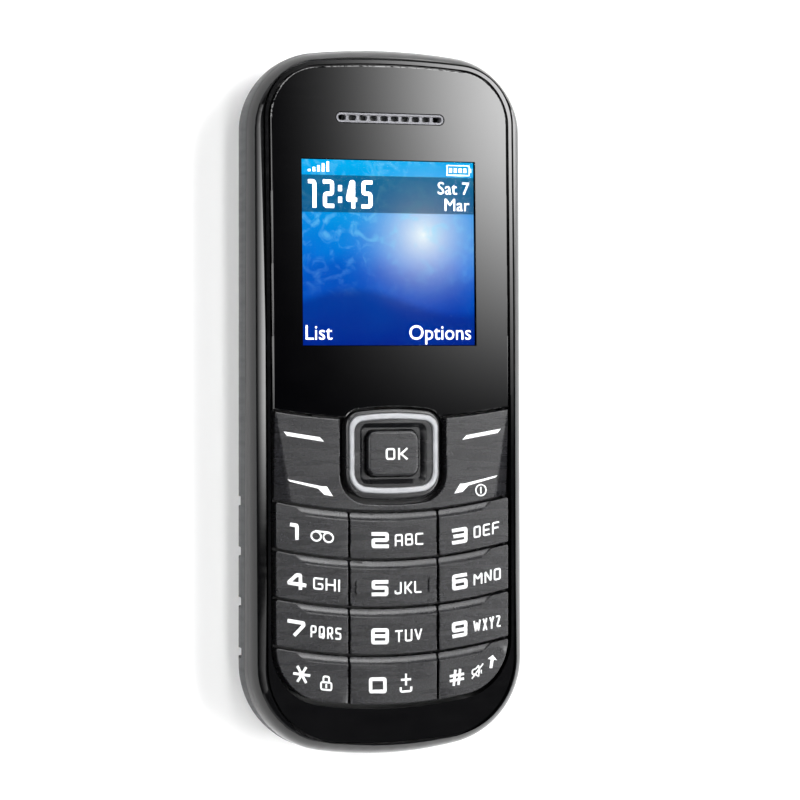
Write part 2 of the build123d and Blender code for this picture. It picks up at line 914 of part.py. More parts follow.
# Battery cover: thin rounded pan that snaps over the whole back
grip_places = (-14.9, -22.6, -30.3, -38.0)
grip_radius = 0.8
grip_depth = 0.32
grip_lean = 27
grip_length = 5.0
grip_height = 4.3
grip_inset = 1.35
sound_slot_count = 5
sound_slot_pitch = 2.4
sound_slot_width = 1.0
sound_slot_length = 6.5
thumb_radius = 6.0
thumb_depth = 0.45
thumb_offset = 5.2
cover_rim_height = seam_height
with BuildPart() as battery_cover:
    add(hull.part)
    split(bisect_by=leaning_plane(cover_rim_height), keep=Keep.BOTTOM)
    add(pan(cover_wall), mode=Mode.SUBTRACT)
    with BuildSketch():
        with Locations((speaker_x, speaker_y)):
            with GridLocations(sound_slot_pitch, 0, sound_slot_count, 1):
                SlotOverall(sound_slot_length, sound_slot_width, rotation=90)
    extrude(amount=cover_wall + overrun / 10, mode=Mode.SUBTRACT)
    with BuildSketch(Plane.XZ.offset(-jack_face_y)):
        with Locations((jack_x, jack_height)):
            Circle(cover_hole_radius)
        with Locations((socket_x, board_height - socket_thickness / 2)):
            RectangleRounded(
                socket_width + 2 * socket_opening_margin,
                socket_thickness + 2 * socket_opening_margin,
                socket_corner + socket_opening_margin,
            )
    extrude(amount=-overrun, mode=Mode.SUBTRACT)
    with BuildSketch(Plane.XZ.offset(-microphone_y)):
        with Locations((0, microphone_height)):
            Circle(sound_hole_radius)
    extrude(amount=overrun, mode=Mode.SUBTRACT)
    for grip_y in grip_places:
        for side in (1, -1):
            reach = half_width - grip_inset + grip_radius - grip_depth
            with Locations(Location((side * reach, grip_y, grip_height), (0, side * grip_lean, 0))):
                Cylinder(grip_radius, grip_length, mode=Mode.SUBTRACT)
    with BuildSketch(leaning_plane(cover_rim_height)):
        with Locations((0, -half_length - thumb_offset)):
            Circle(thumb_radius)
    extrude(amount=-thumb_depth, mode=Mode.SUBTRACT)
battery_cover.part.label = "battery_cover"
export_step(battery_cover.part, "parts/battery_cover.step")

# Battery pack with its contact pads
with BuildPart() as battery:
    with BuildSketch(Plane.XY.offset(battery_height)):
        with Locations((0, battery_y)):
            RectangleRounded(battery_width, battery_length, battery_corner)
    extrude(amount=battery_thickness)
    fillet(battery.faces().sort_by(Axis.Z)[-1].edges(), battery_edge)
    fillet(battery.faces().sort_by(Axis.Z)[0].edges(), battery_edge)
    with BuildSketch(Plane.XZ.offset(-battery_top_y)):
        with Locations((0, pad_height)):
            with GridLocations(pad_pitch, 0, pad_count, 1):
                Rectangle(pad_width, pad_tall)
    extrude(amount=pad_depth, mode=Mode.SUBTRACT)
battery.part.label = "battery"
export_step(battery.part, "parts/battery.step")

# Gold pads, a little below the end of the pack
with BuildPart() as battery_pads:
    with BuildSketch(Plane.XZ.offset(pad_depth - battery_top_y)):
        with Locations((0, pad_height)):
            with GridLocations(pad_pitch, 0, pad_count, 1):
                Rectangle(pad_width, pad_tall)
    extrude(amount=pad_sink - pad_depth)
battery_pads.part.label = "battery_pads"
export_step(battery_pads.part, "parts/battery_pads.step")

# Spring blades that press on the pads, standing in the bay's end wall
blade_tip_y = battery_top_y - pad_sink + blade_reach
blade_back_y = battery_top_y + bay_fit + blade_slot_depth - blade_thickness
with BuildPart() as blade_spring:
    with BuildSketch(Plane.YZ):
        with BuildLine():
            blade_line = Polyline(
                (blade_back_y, bay_height - blade_thickness),
                (blade_back_y, pad_height - blade_tall / 2),
                (blade_tip_y, pad_height - blade_tall / 2),
                (blade_tip_y, pad_height + blade_tall / 3),
                (blade_tip_y + blade_reach + bay_fit, pad_height + blade_tall / 2),
            )
            offset(blade_line, amount=blade_thickness / 2)
        make_face()
    extrude(amount=blade_width / 2, both=True)
with BuildPart() as battery_terminals:
    with GridLocations(pad_pitch, 0, pad_count, 1):
        add(blade_spring.part)
battery_terminals.part.label = "battery_terminals"
export_step(battery_terminals.part, "parts/battery_terminals.step")

# SIM card with its cut corner
with BuildPart() as sim_card:
    with BuildSketch(Plane.XY.offset(sim_height)):
        with Locations((0, sim_y)):
            Rectangle(sim_width, sim_length)
    extrude(amount=sim_thickness)
    corner_edges = sim_card.edges().filter_by(Axis.Z)
    chamfer(corner_edges.group_by(Axis.Y)[-1].sort_by(Axis.X)[-1], sim_chamfer)
    fillet(sim_card.edges().filter_by(Axis.Z).group_by(Axis.Y)[0], sim_thickness)
sim_card.part.label = "sim_card"
export_step(sim_card.part, "parts/sim_card.step")

# Sheet-metal bridge that holds the card
holder_sheet = 0.2
holder_gap = 0.3
holder_length = 12.0
holder_rail = 2.5
holder_half = sim_width / 2 + sim_fit - holder_sheet / 4
holder_bottom_height = sim_height - holder_gap - holder_sheet
with BuildPart() as sim_holder:
    with BuildSketch(Plane.XY.offset(holder_bottom_height)):
        with Locations((0, sim_y)):
            Rectangle(2 * holder_half, holder_length)
    extrude(amount=sim_channel_height - holder_bottom_height)
    with BuildSketch(Plane.XY.offset(holder_bottom_height + holder_sheet)):
        with Locations((0, sim_y)):
            Rectangle(2 * (holder_half - holder_sheet), holder_length)
    extrude(amount=overrun, mode=Mode.SUBTRACT)
    with BuildSketch(Plane.XY.offset(holder_bottom_height)):
        with Locations((0, sim_y)):
            Rectangle(2 * (holder_half - holder_rail), holder_length - 2 * holder_rail)
    extrude(amount=holder_sheet, mode=Mode.SUBTRACT)
sim_holder.part.label = "sim_holder"
export_step(sim_holder.part, "parts/sim_holder.step")

# SIM contact block with six spring contacts
sim_contact_gap = 0.04
sim_contact_pitch_x = 2.54
sim_contact_pitch_y = 3.8
sim_contact_size = 1.2
sim_block_top_height = sim_channel_height + sim_contact_depth
with BuildPart() as sim_contacts:
    with BuildSketch(Plane.XY.offset(sim_channel_height)):
        with Locations((0, sim_y)):
            Rectangle(sim_contact_width, sim_contact_length)
    extrude(amount=sim_contact_depth)
    with BuildSketch(Plane.XY.offset(sim_height + sim_thickness + sim_contact_gap)):
        with Locations((0, sim_y)):
            with GridLocations(sim_contact_pitch_x, sim_contact_pitch_y, 3, 2):
                Rectangle(sim_contact_size, sim_contact_size)
    extrude(until=Until.NEXT)
sim_contacts.part.label = "sim_contacts"
export_step(sim_contacts.part, "parts/sim_contacts.step")

# Headset jack: square body with a round collar and a blind bore
jack_bore_depth = jack_length + jack_collar_length - jack_end_wall
jack_mouth_y = jack_face_y + jack_collar_length
with BuildPart() as headset_jack:
    with BuildSketch(Plane.XZ.offset(-jack_face_y)):
        with Locations((jack_x, jack_height)):
            Rectangle(jack_width, jack_thickness)
    extrude(amount=jack_length)
    with BuildSketch(Plane.XZ.offset(-jack_mouth_y)):
        with Locations((jack_x, jack_height)):
            Circle(jack_collar_radius)
    extrude(amount=jack_collar_length)
    with BuildSketch(Plane.XZ.offset(-jack_mouth_y)):
        with Locations((jack_x, jack_height)):
            Circle(jack_bore_radius)
    extrude(amount=jack_bore_depth, mode=Mode.SUBTRACT)
headset_jack.part.label = "headset_jack"
export_step(headset_jack.part, "parts/headset_jack.step")

# Charging socket: folded shell with its tongue
socket_middle_height = board_height - socket_thickness / 2
with BuildPart() as charging_socket:
    with BuildSketch(Plane.XZ.offset(-socket_face_y)):
        with Locations((socket_x, socket_middle_height)):
            RectangleRounded(socket_width, socket_thickness, socket_corner)
    extrude(amount=socket_length)
    with BuildSketch(Plane.XZ.offset(-socket_face_y)):
        with Locations((socket_x, socket_middle_height)):
            RectangleRounded(
                socket_width - 2 * socket_wall,
                socket_thickness - 2 * socket_wall,
                socket_corner - socket_wall,
            )
            Rectangle(socket_tongue_width, socket_tongue_thickness, mode=Mode.SUBTRACT)
    extrude(amount=socket_length - socket_wall, mode=Mode.SUBTRACT)
charging_socket.part.label = "charging_socket"
export_step(charging_socket.part, "parts/charging_socket.step")

# Loudspeaker with its foam gasket against the cover's sound slots
speaker_rim = 1.2
speaker_dish = 0.5
with BuildPart() as loudspeaker:
    with BuildSketch(Plane.XY.offset(speaker_height)):
        with Locations((speaker_x, speaker_y)):
            RectangleRounded(speaker_width, speaker_length, speaker_corner)
    extrude(amount=speaker_thickness)
    with BuildSketch(Plane.XY.offset(speaker_height)):
        with Locations((speaker_x, speaker_y)):
            RectangleRounded(
                speaker_width - 2 * speaker_rim, speaker_length - 2 * speaker_rim, speaker_corner
            )
    extrude(amount=speaker_dish, mode=Mode.SUBTRACT)
loudspeaker.part.label = "loudspeaker"
export_step(loudspeaker.part, "parts/loudspeaker.step")

gasket_bottom_height = cover_wall + cover_fit
with BuildPart() as speaker_gasket:
    with BuildSketch(Plane.XY.offset(gasket_bottom_height)):
        with Locations((speaker_x, speaker_y)):
            RectangleRounded(
                speaker_width - 2 * gasket_wall, speaker_length - 2 * gasket_wall, speaker_corner
            )
            RectangleRounded(
                speaker_width - 4 * gasket_wall,
                speaker_length - 4 * gasket_wall,
                speaker_corner - gasket_wall,
                mode=Mode.SUBTRACT,
            )
    extrude(amount=speaker_height - gasket_bottom_height - gasket_fit)
speaker_gasket.part.label = "speaker_gasket"
export_step(speaker_gasket.part, "parts/speaker_gasket.step")

# Microphone capsule in its rubber boot, facing the bottom end
boot_end = 0.4
boot_fit = 0.03
with BuildPart() as microphone_boot:
    with BuildSketch(Plane.XZ.offset(-microphone_y)):
        with Locations((0, microphone_height)):
            Circle(microphone_radius + microphone_wall)
    extrude(amount=microphone_length + boot_end)
    with BuildSketch(Plane.XZ.offset(-microphone_y)):
        with Locations((0, microphone_height)):
            Circle(microphone_radius + boot_fit)
    extrude(amount=microphone_length, mode=Mode.SUBTRACT)
    with BuildSketch(Plane.XZ.offset(-microphone_y)):
        with Locations((0, microphone_height)):
            Circle(sound_hole_radius)
    extrude(amount=overrun, mode=Mode.SUBTRACT)
microphone_boot.part.label = "microphone_boot"
export_step(microphone_boot.part, "parts/microphone_boot.step")

with BuildPart() as microphone:
    with BuildSketch(Plane.XZ.offset(-microphone_y)):
        with Locations((0, microphone_height)):
            Circle(microphone_radius)
    extrude(amount=microphone_length - boot_fit)
microphone.part.label = "microphone"
export_step(microphone.part, "parts/microphone.step")

# Vibration motor, and the weight on its shaft with the heavy half hanging down
with BuildPart() as vibration_motor:
    with BuildSketch(Plane.YZ.offset(motor_start_x)):
        with Locations((motor_y, motor_height)):
            Circle(motor_radius)
    extrude(amount=motor_length)
    with BuildSketch(Plane.YZ.offset(motor_start_x + motor_length)):
        with Locations((motor_y, motor_height)):
            Circle(motor_shaft_radius)
    extrude(amount=motor_shaft_length)
vibration_motor.part.label = "vibration_motor"
export_step(vibration_motor.part, "parts/vibration_motor.step")

with BuildPart() as vibration_weight:
    with BuildSketch(Plane.YZ.offset(weight_start_x)):
        with Locations((motor_y, motor_height)):
            Circle(weight_radius)
            Rectangle(
                2 * weight_radius,
                weight_radius,
                align=(Align.CENTER, Align.MIN),
                mode=Mode.SUBTRACT,
            )
            Circle(weight_hub_radius)
            Circle(motor_shaft_radius + weight_fit, mode=Mode.SUBTRACT)
    extrude(amount=weight_length)
vibration_weight.part.label = "vibration_weight"
export_step(vibration_weight.part, "parts/vibration_weight.step")

# Antenna plate with its two slots, and the springs that join it to the board
antenna_slot_width = 0.8
antenna_slot_length = 24.0
antenna_slot_pitch = 4.0
with BuildPart() as antenna:
    with BuildSketch(Plane.XY.offset(antenna_height)):
        with Locations((0, antenna_y)):
            Rectangle(antenna_width, antenna_length)
        for side in (1, -1):
            with Locations((side * antenna_width / 2, antenna_y + side * antenna_slot_pitch / 2)):
                slot_align = Align.MAX if side == 1 else Align.MIN
                Rectangle(
                    antenna_slot_length,
                    antenna_slot_width,
                    align=(slot_align, Align.CENTER),
                    mode=Mode.SUBTRACT,
                )
    extrude(amount=antenna_thickness)
antenna.part.label = "antenna"
export_step(antenna.part, "parts/antenna.step")

antenna_spring_size = 1.2
antenna_spring_pitch = 5.0
with BuildPart() as antenna_springs:
    with BuildSketch(Plane.XY.offset(antenna_height + antenna_thickness)):
        with Locations((0, antenna_y + antenna_length / 2 - antenna_spring_size)):
            with GridLocations(antenna_spring_pitch, 0, 2, 1):
                Rectangle(antenna_spring_size, antenna_spring_size)
    extrude(amount=board_height - antenna_height - antenna_thickness)
antenna_springs.part.label = "antenna_springs"
export_step(antenna_springs.part, "parts/antenna_springs.step")

# Main board with its screw notches
screw_notch = 0.5
with BuildPart() as main_board:
    with BuildSketch(Plane.XY.offset(board_height)):
        add(face_outline(wall_fit + chassis_wall + board_fit))
        with Locations(*screw_places):
            Circle(screw_shank_radius + screw_notch, mode=Mode.SUBTRACT)
    extrude(amount=board_thickness)
main_board.part.label = "main_board"
export_step(main_board.part, "parts/main_board.step")

# Two tin cans soldered under the board
with BuildPart() as board_shields:
    with BuildSketch(Plane.XY.offset(board_height - can_thickness)):
        for low_y, top_y in can_spans:
            with Locations((0, (low_y + top_y) / 2)):
                RectangleRounded(2 * can_half, top_y - low_y, can_corner)
    extrude(amount=can_thickness)
    with BuildSketch(Plane.XY.offset(board_height - can_thickness + can_wall)):
        for low_y, top_y in can_spans:
            with Locations((0, (low_y + top_y) / 2)):
                RectangleRounded(
                    2 * (can_half - can_wall),
                    top_y - low_y - 2 * can_wall,
                    can_corner - can_wall,
                )
    extrude(amount=overrun, mode=Mode.SUBTRACT)
board_shields.part.label = "board_shields"
export_step(board_shields.part, "parts/board_shields.step")

# Places that are pressed: key centres, the ring's four sides, the plate's four corners
press_column_x = 13.3
press_low_x = 12.0
press_nav_x = 6.4
press_nav_y = 5.8
press_soft_x = 14.5
press_soft_y = -4.6
press_call_y = -12.4
press_places = [(0, ok_y)]
for side in (1, -1):
    press_places.append((side * press_nav_x, nav_y))
    press_places.append((0, nav_y + side * press_nav_y))
    press_places.append((side * press_soft_x, press_soft_y))
    press_places.append((side * press_soft_x, press_call_y))
for row in range(len(key_names)):
    middle_y = row_top(row) - (row_pitch - row_gap) / 2
    reach_x = press_column_x if row + 1 < len(key_names) else press_low_x
    press_places.append((0, middle_y))
    for side in (1, -1):
        press_places.append((side * reach_x, middle_y + arc_rise(row_arc, reach_x)))

# Lamps beside the domes
lamp_width = 1.6
lamp_length = 0.8
lamp_thickness = 0.5
lamp_room = 0.3
lamp_x = column_x
lamp_places = []
for row in range(len(key_names) - 1):
    for side in (1, -1):
        lamp_places.append((side * lamp_x, row_top(row + 1) + row_gap / 2))
with BuildPart() as keypad_lights:
    with BuildSketch(Plane.XY.offset(board_top_height)):
        with Locations(*lamp_places):
            Rectangle(lamp_width, lamp_length)
    extrude(amount=lamp_thickness)
keypad_lights.part.label = "keypad_lights"
export_step(keypad_lights.part, "parts/keypad_lights.step")

# Dome sheet: film with a metal snap dome at every place that is pressed
dome_film = 0.15
dome_radius = 2.0
dome_rise = 0.3
dome_ball = (dome_radius**2 + dome_rise**2) / (2 * dome_rise)
sheet_inset = 1.2
sheet_top_y = -1.0
with BuildPart() as one_dome:
    Sphere(dome_ball)
    with BuildSketch(Plane.XY.offset(dome_ball - dome_rise)):
        Circle(dome_ball)
    extrude(amount=dome_ball, mode=Mode.INTERSECT)
dome_cap = one_dome.part.moved(Location((0, 0, board_top_height + dome_film + dome_rise - dome_ball)))
with BuildPart() as dome_sheet:
    with BuildSketch(Plane.XY.offset(board_top_height)):
        add(keypad_outline(-sheet_inset))
        with Locations((0, sheet_top_y)):
            Rectangle(body_width, body_length, align=(Align.CENTER, Align.MAX), mode=Mode.INTERSECT)
        with Locations(*lamp_places):
            Rectangle(lamp_width + 2 * lamp_room, lamp_length + 2 * lamp_room, mode=Mode.SUBTRACT)
    extrude(amount=dome_film)
    with Locations(*press_places):
        add(dome_cap)
dome_sheet.part.label = "dome_sheet"
export_step(dome_sheet.part, "parts/dome_sheet.step")

# Keypad mat: silicone web with a plunger over each dome
mat_inset = 0.4
mat_height = 9.8
mat_thickness = 0.45
plunger_radius = 0.9
plunger_gap = 0.05
plunger_height = board_top_height + dome_film + dome_rise + plunger_gap
with BuildPart() as keypad_mat:
    with BuildSketch(Plane.XY.offset(mat_height)):
        add(keypad_outline(-mat_inset))
        with Locations((0, sheet_top_y)):
            Rectangle(body_width, body_length, align=(Align.CENTER, Align.MAX), mode=Mode.INTERSECT)
    extrude(amount=mat_thickness)
    with BuildSketch(Plane.XY.offset(plunger_height)):
        with Locations(*press_places):
            Circle(plunger_radius)
    extrude(amount=mat_height - plunger_height)
keypad_mat.part.label = "keypad_mat"
export_step(keypad_mat.part, "parts/keypad_mat.step")

# Silicone rockers under the function plate and the ring
function_pad_half = 12.5
rocker_margin = 0.3
with BuildPart() as function_pad:
    with BuildSketch(Plane.XY.offset(key_bottom_height)):
        with Locations((0, nav_y)):
            Rectangle(2 * function_pad_half, 2 * (nav_half_y + plate_notch_y), align=Align.CENTER)
            add(
                nav_outline(
                    nav_half_x + plate_notch_x + rocker_margin,
                    nav_half_y + plate_notch_y - rocker_margin,
                    nav_top_corner + plate_notch_y,
                    nav_bottom_corner + plate_notch_y,
                ),
                mode=Mode.SUBTRACT,
            )
    extrude(amount=rocker_thickness)
function_pad.part.label = "function_pad"
export_step(function_pad.part, "parts/function_pad.step")

nav_pad_inset = 1.1
nav_pad_hole = 0.6
with BuildPart() as nav_pad:
    with BuildSketch(Plane.XY.offset(key_bottom_height)):
        with Locations((0, nav_y)):
            Rectangle(2 * (nav_half_x - nav_pad_inset), 2 * (nav_half_y - nav_pad_inset))
        with Locations((0, ok_y)):
            Rectangle(
                2 * (ok_half_x + nav_pad_hole), 2 * (ok_half_y + nav_pad_hole), mode=Mode.SUBTRACT
            )
    extrude(amount=rocker_thickness)
nav_pad.part.label = "nav_pad"
export_step(nav_pad.part, "parts/nav_pad.step")

# Display: backlight tray, glass panel, and the ribbon to the board
tray_gap = 0.05
tray_wall = 0.6
tray_fit = 0.1
tray_floor_height = 10.35
panel_height = 10.4
panel_thickness = 1.0
tray_top_height = 11.2
ribbon_width = 12.0
ribbon_room = 0.4
display_length = display_top_y - display_bottom_y
display_middle_y = (display_top_y + display_bottom_y) / 2
with BuildPart() as backlight_frame:
    with BuildSketch(Plane.XY.offset(board_top_height + tray_gap)):
        with Locations((0, display_middle_y)):
            Rectangle(2 * display_half, display_length)
    extrude(amount=tray_top_height - board_top_height - tray_gap)
    with BuildSketch(Plane.XY.offset(tray_floor_height)):
        with Locations((0, display_middle_y)):
            Rectangle(2 * (display_half - tray_wall), display_length - 2 * tray_wall)
        with Locations((0, display_bottom_y)):
            Rectangle(ribbon_width + 2 * ribbon_room, 2 * tray_wall)
    extrude(amount=overrun, mode=Mode.SUBTRACT)
backlight_frame.part.label = "backlight_frame"
export_step(backlight_frame.part, "parts/backlight_frame.step")

panel_bottom_y = display_bottom_y + tray_wall + tray_fit
with BuildPart() as lcd_panel:
    with BuildSketch(Plane.XY.offset(panel_height)):
        with Locations((0, display_middle_y)):
            Rectangle(
                2 * (display_half - tray_wall - tray_fit), display_length - 2 * (tray_wall + tray_fit)
            )
    extrude(amount=panel_thickness)
lcd_panel.part.label = "lcd_panel"
export_step(lcd_panel.part, "parts/lcd_panel.step")

ribbon_thickness = 0.15
ribbon_drop_y = 5.2
ribbon_end_y = 2.4
ribbon_top_height = panel_height + ribbon_thickness
ribbon_low_height = board_top_height + ribbon_thickness
with BuildPart() as lcd_flex:
    with BuildSketch(Plane.YZ):
        with BuildLine():
            ribbon_line = Polyline(
                (panel_bottom_y - ribbon_thickness, ribbon_top_height),
                (ribbon_drop_y, ribbon_top_height),
                (ribbon_drop_y, ribbon_low_height),
                (ribbon_end_y, ribbon_low_height),
            )
            offset(ribbon_line, amount=ribbon_thickness / 2)
        make_face()
    extrude(amount=ribbon_width / 2, both=True)
lcd_flex.part.label = "lcd_flex"
export_step(lcd_flex.part, "parts/lcd_flex.step")

# Earpiece capsule behind the grille
earpiece_height = board_top_height + tray_gap
earpiece_thickness = 2.1
earpiece_corner = 1.6
with BuildPart() as earpiece:
    with BuildSketch(Plane.XY.offset(earpiece_height)):
        with Locations((0, earpiece_y)):
            RectangleRounded(earpiece_length, earpiece_width, earpiece_corner)
    extrude(amount=earpiece_thickness)
earpiece.part.label = "earpiece"
export_step(earpiece.part, "parts/earpiece.step")
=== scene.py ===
from math import cos, pi, radians, sin, tau

import bpy
from mathutils import Matrix, Vector


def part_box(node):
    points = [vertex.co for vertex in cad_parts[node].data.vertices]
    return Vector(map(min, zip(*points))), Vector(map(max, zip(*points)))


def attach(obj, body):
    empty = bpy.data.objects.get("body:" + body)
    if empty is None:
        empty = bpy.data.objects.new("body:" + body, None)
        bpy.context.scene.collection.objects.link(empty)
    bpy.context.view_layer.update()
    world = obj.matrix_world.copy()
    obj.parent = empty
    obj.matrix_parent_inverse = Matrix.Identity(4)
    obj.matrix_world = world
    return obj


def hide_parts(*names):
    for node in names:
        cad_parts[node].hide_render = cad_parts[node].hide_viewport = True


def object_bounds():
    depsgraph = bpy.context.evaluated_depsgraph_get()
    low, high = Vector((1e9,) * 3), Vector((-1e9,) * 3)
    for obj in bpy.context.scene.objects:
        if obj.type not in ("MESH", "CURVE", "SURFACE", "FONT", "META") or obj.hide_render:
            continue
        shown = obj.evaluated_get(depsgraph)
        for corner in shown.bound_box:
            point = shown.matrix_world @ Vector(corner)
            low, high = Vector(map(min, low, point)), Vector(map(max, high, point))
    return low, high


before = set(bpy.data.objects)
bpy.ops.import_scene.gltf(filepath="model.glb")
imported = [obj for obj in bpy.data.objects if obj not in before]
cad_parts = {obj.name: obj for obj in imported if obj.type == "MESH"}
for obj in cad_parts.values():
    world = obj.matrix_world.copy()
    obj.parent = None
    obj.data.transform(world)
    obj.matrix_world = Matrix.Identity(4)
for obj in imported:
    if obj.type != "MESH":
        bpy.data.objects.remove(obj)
cad_box = [list(corner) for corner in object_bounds()]
millimetre = 0.001


# Front frame: the band round the face, moulded in black polycarbonate and left glossy.
# Its rounded outer edge carries the long highlights; it is screwed to the chassis from behind.
def tone(code):
    """Linear colour of an sRGB code such as 1a1a1c."""
    parts = [int(code[i:i + 2], 16) / 255 for i in (0, 2, 4)]
    linear = [c / 12.92 if c <= 0.04045 else ((c + 0.055) / 1.055) ** 2.4 for c in parts]
    return (*linear, 1.0)


def pick(*objects):
    """Selects these objects alone and makes the last one active."""
    bpy.ops.object.select_all(action="DESELECT")
    for piece in objects:
        piece.select_set(True)
    bpy.context.view_layer.objects.active = objects[-1]


def shaded(piece, smooth_under):
    """Smooth shading that stops at edges sharper than this angle in degrees."""
    pick(piece)
    bpy.ops.mesh.customdata_custom_splitnormals_clear()
    bpy.ops.object.shade_smooth_by_angle(angle=radians(smooth_under))
    even = piece.modifiers.new("even_shading", "WEIGHTED_NORMAL")
    even.keep_sharp = True
    even.weight = 100
    bpy.ops.object.modifier_apply(modifier=even.name)


merge_distance = 0.0005


def skin_of(node, body, smooth_under=32):
    """The moulding's own mesh, merged and shaded smooth, standing for its CAD node."""
    piece = bpy.data.objects.new(node + "_skin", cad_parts[node].data.copy())
    bpy.context.scene.collection.objects.link(piece)
    piece.data.materials.clear()
    pick(piece)
    bpy.ops.mesh.customdata_custom_splitnormals_clear()
    bpy.ops.object.mode_set(mode="EDIT")
    bpy.ops.mesh.select_all(action="SELECT")
    bpy.ops.mesh.remove_doubles(threshold=merge_distance * millimetre)
    bpy.ops.object.mode_set(mode="OBJECT")
    shaded(piece, smooth_under)
    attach(piece, body)
    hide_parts(node)
    return piece


def group_with(name, inputs, outputs):
    """Empty node group with these named sockets."""
    tree = bpy.data.node_groups.new(name, "ShaderNodeTree")
    for label, kind, start in inputs:
        socket = tree.interface.new_socket(label, in_out="INPUT", socket_type=kind)
        socket.default_value = start
    for label, kind in outputs:
        tree.interface.new_socket(label, in_out="OUTPUT", socket_type=kind)
    return tree, tree.nodes.new("NodeGroupInput"), tree.nodes.new("NodeGroupOutput")


def mottle_group():
    """Slow and fine variation between two near colours, as moulded plastic shows."""
    tree, given, result = group_with(
        "moulded_mottle",
        [
            ("Dark", "NodeSocketColor", (0, 0, 0, 1)),
            ("Light", "NodeSocketColor", (1, 1, 1, 1)),
            ("Scale", "NodeSocketFloat", 400.0),
        ],
        [("Color", "NodeSocketColor")],
    )
    place = tree.nodes.new("ShaderNodeTexCoord")
    cloud = tree.nodes.new("ShaderNodeTexNoise")
    cloud.inputs["Detail"].default_value = 6.0
    cloud.inputs["Roughness"].default_value = 0.62
    spread = tree.nodes.new("ShaderNodeMapRange")
    spread.inputs["From Min"].default_value = 0.3
    spread.inputs["From Max"].default_value = 0.7
    blend = tree.nodes.new("ShaderNodeMix")
    blend.data_type = "RGBA"
    join = tree.links.new
    join(place.outputs["Object"], cloud.inputs["Vector"])
    join(given.outputs["Scale"], cloud.inputs["Scale"])
    join(cloud.outputs["Fac"], spread.inputs["Value"])
    join(spread.outputs["Result"], blend.inputs["Factor"])
    join(given.outputs["Dark"], blend.inputs["A"])
    join(given.outputs["Light"], blend.inputs["B"])
    join(blend.outputs["Result"], result.inputs["Color"])
    return tree


def grain_group():
    """Fine moulded or sprayed grain as a height for Bump."""
    tree, given, result = group_with(
        "fine_grain",
        [("Scale", "NodeSocketFloat", 8000.0), ("Softness", "NodeSocketFloat", 0.5)],
        [("Height", "NodeSocketFloat")],
    )
    place = tree.nodes.new("ShaderNodeTexCoord")
    specks = tree.nodes.new("ShaderNodeTexNoise")
    specks.inputs["Detail"].default_value = 3.0
    join = tree.links.new
    join(place.outputs["Object"], specks.inputs["Vector"])
    join(given.outputs["Scale"], specks.inputs["Scale"])
    join(given.outputs["Softness"], specks.inputs["Roughness"])
    join(specks.outputs["Fac"], result.inputs["Height"])
    return tree


def handling_group():
    """Roughness with faint wiping marks and hairlines, as a handled surface has."""
    tree, given, result = group_with(
        "handling_marks",
        [
            ("Clean", "NodeSocketFloat", 0.1),
            ("Marked", "NodeSocketFloat", 0.2),
            ("Scale", "NodeSocketFloat", 120.0),
        ],
        [("Roughness", "NodeSocketFloat")],
    )
    place = tree.nodes.new("ShaderNodeTexCoord")
    turn = tree.nodes.new("ShaderNodeMapping")
    turn.inputs["Rotation"].default_value = (0.2, 0.3, 0.9)
    turn.inputs["Scale"].default_value = (1.0, 9.0, 1.0)
    wipes = tree.nodes.new("ShaderNodeTexNoise")
    wipes.inputs["Detail"].default_value = 5.0
    cut = tree.nodes.new("ShaderNodeMapRange")
    cut.inputs["From Min"].default_value = 0.42
    cut.inputs["From Max"].default_value = 0.72
    level = tree.nodes.new("ShaderNodeMix")
    join = tree.links.new
    join(place.outputs["Object"], turn.inputs["Vector"])
    join(turn.outputs["Vector"], wipes.inputs["Vector"])
    join(given.outputs["Scale"], wipes.inputs["Scale"])
    join(wipes.outputs["Fac"], cut.inputs["Value"])
    join(cut.outputs["Result"], level.inputs["Factor"])
    join(given.outputs["Clean"], level.inputs["A"])
    join(given.outputs["Marked"], level.inputs["B"])
    join(level.outputs["Result"], result.inputs["Roughness"])
    return tree


mottle = mottle_group()
grain = grain_group()
handling = handling_group()


def finish_of(name, dark, light, clean, marked, metal=0.0, patch=400.0, grit=8000.0, depth=0.0):
    """Material of a moulded, sprayed or plated surface: two near tones, marks, fine grain."""
    material = bpy.data.materials.new(name)
    material.use_nodes = True
    nodes, join = material.node_tree.nodes, material.node_tree.links.new
    surface = nodes["Principled BSDF"]
    surface.inputs["Metallic"].default_value = metal
    colour = nodes.new("ShaderNodeGroup")
    colour.node_tree = mottle
    colour.name = "colour"
    colour.inputs["Dark"].default_value = tone(dark)
    colour.inputs["Light"].default_value = tone(light)
    colour.inputs["Scale"].default_value = patch
    join(colour.outputs["Color"], surface.inputs["Base Color"])
    marks = nodes.new("ShaderNodeGroup")
    marks.node_tree = handling
    marks.inputs["Clean"].default_value = clean
    marks.inputs["Marked"].default_value = marked
    join(marks.outputs["Roughness"], surface.inputs["Roughness"])
    if depth:
        fine = nodes.new("ShaderNodeGroup")
        fine.node_tree = grain
        fine.inputs["Scale"].default_value = grit
        relief = nodes.new("ShaderNodeBump")
        relief.inputs["Strength"].default_value = 1.0
        relief.inputs["Distance"].default_value = depth * millimetre
        join(fine.outputs["Height"], relief.inputs["Height"])
        join(relief.outputs["Normal"], surface.inputs["Normal"])
    return material


gloss_black = finish_of("gloss_black_moulding", "060607", "0a0a0b", 0.05, 0.09, patch=300.0)
front_frame = skin_of("front_frame", "root")
front_frame.data.materials.append(gloss_black)


# Front bezel: thin trim ring, window seat, crossbar and glossy chin in one black moulding.
# It drops into the frame and the window is taped to it.
front_bezel = skin_of("front_bezel", "root")
front_bezel.data.materials.append(gloss_black)


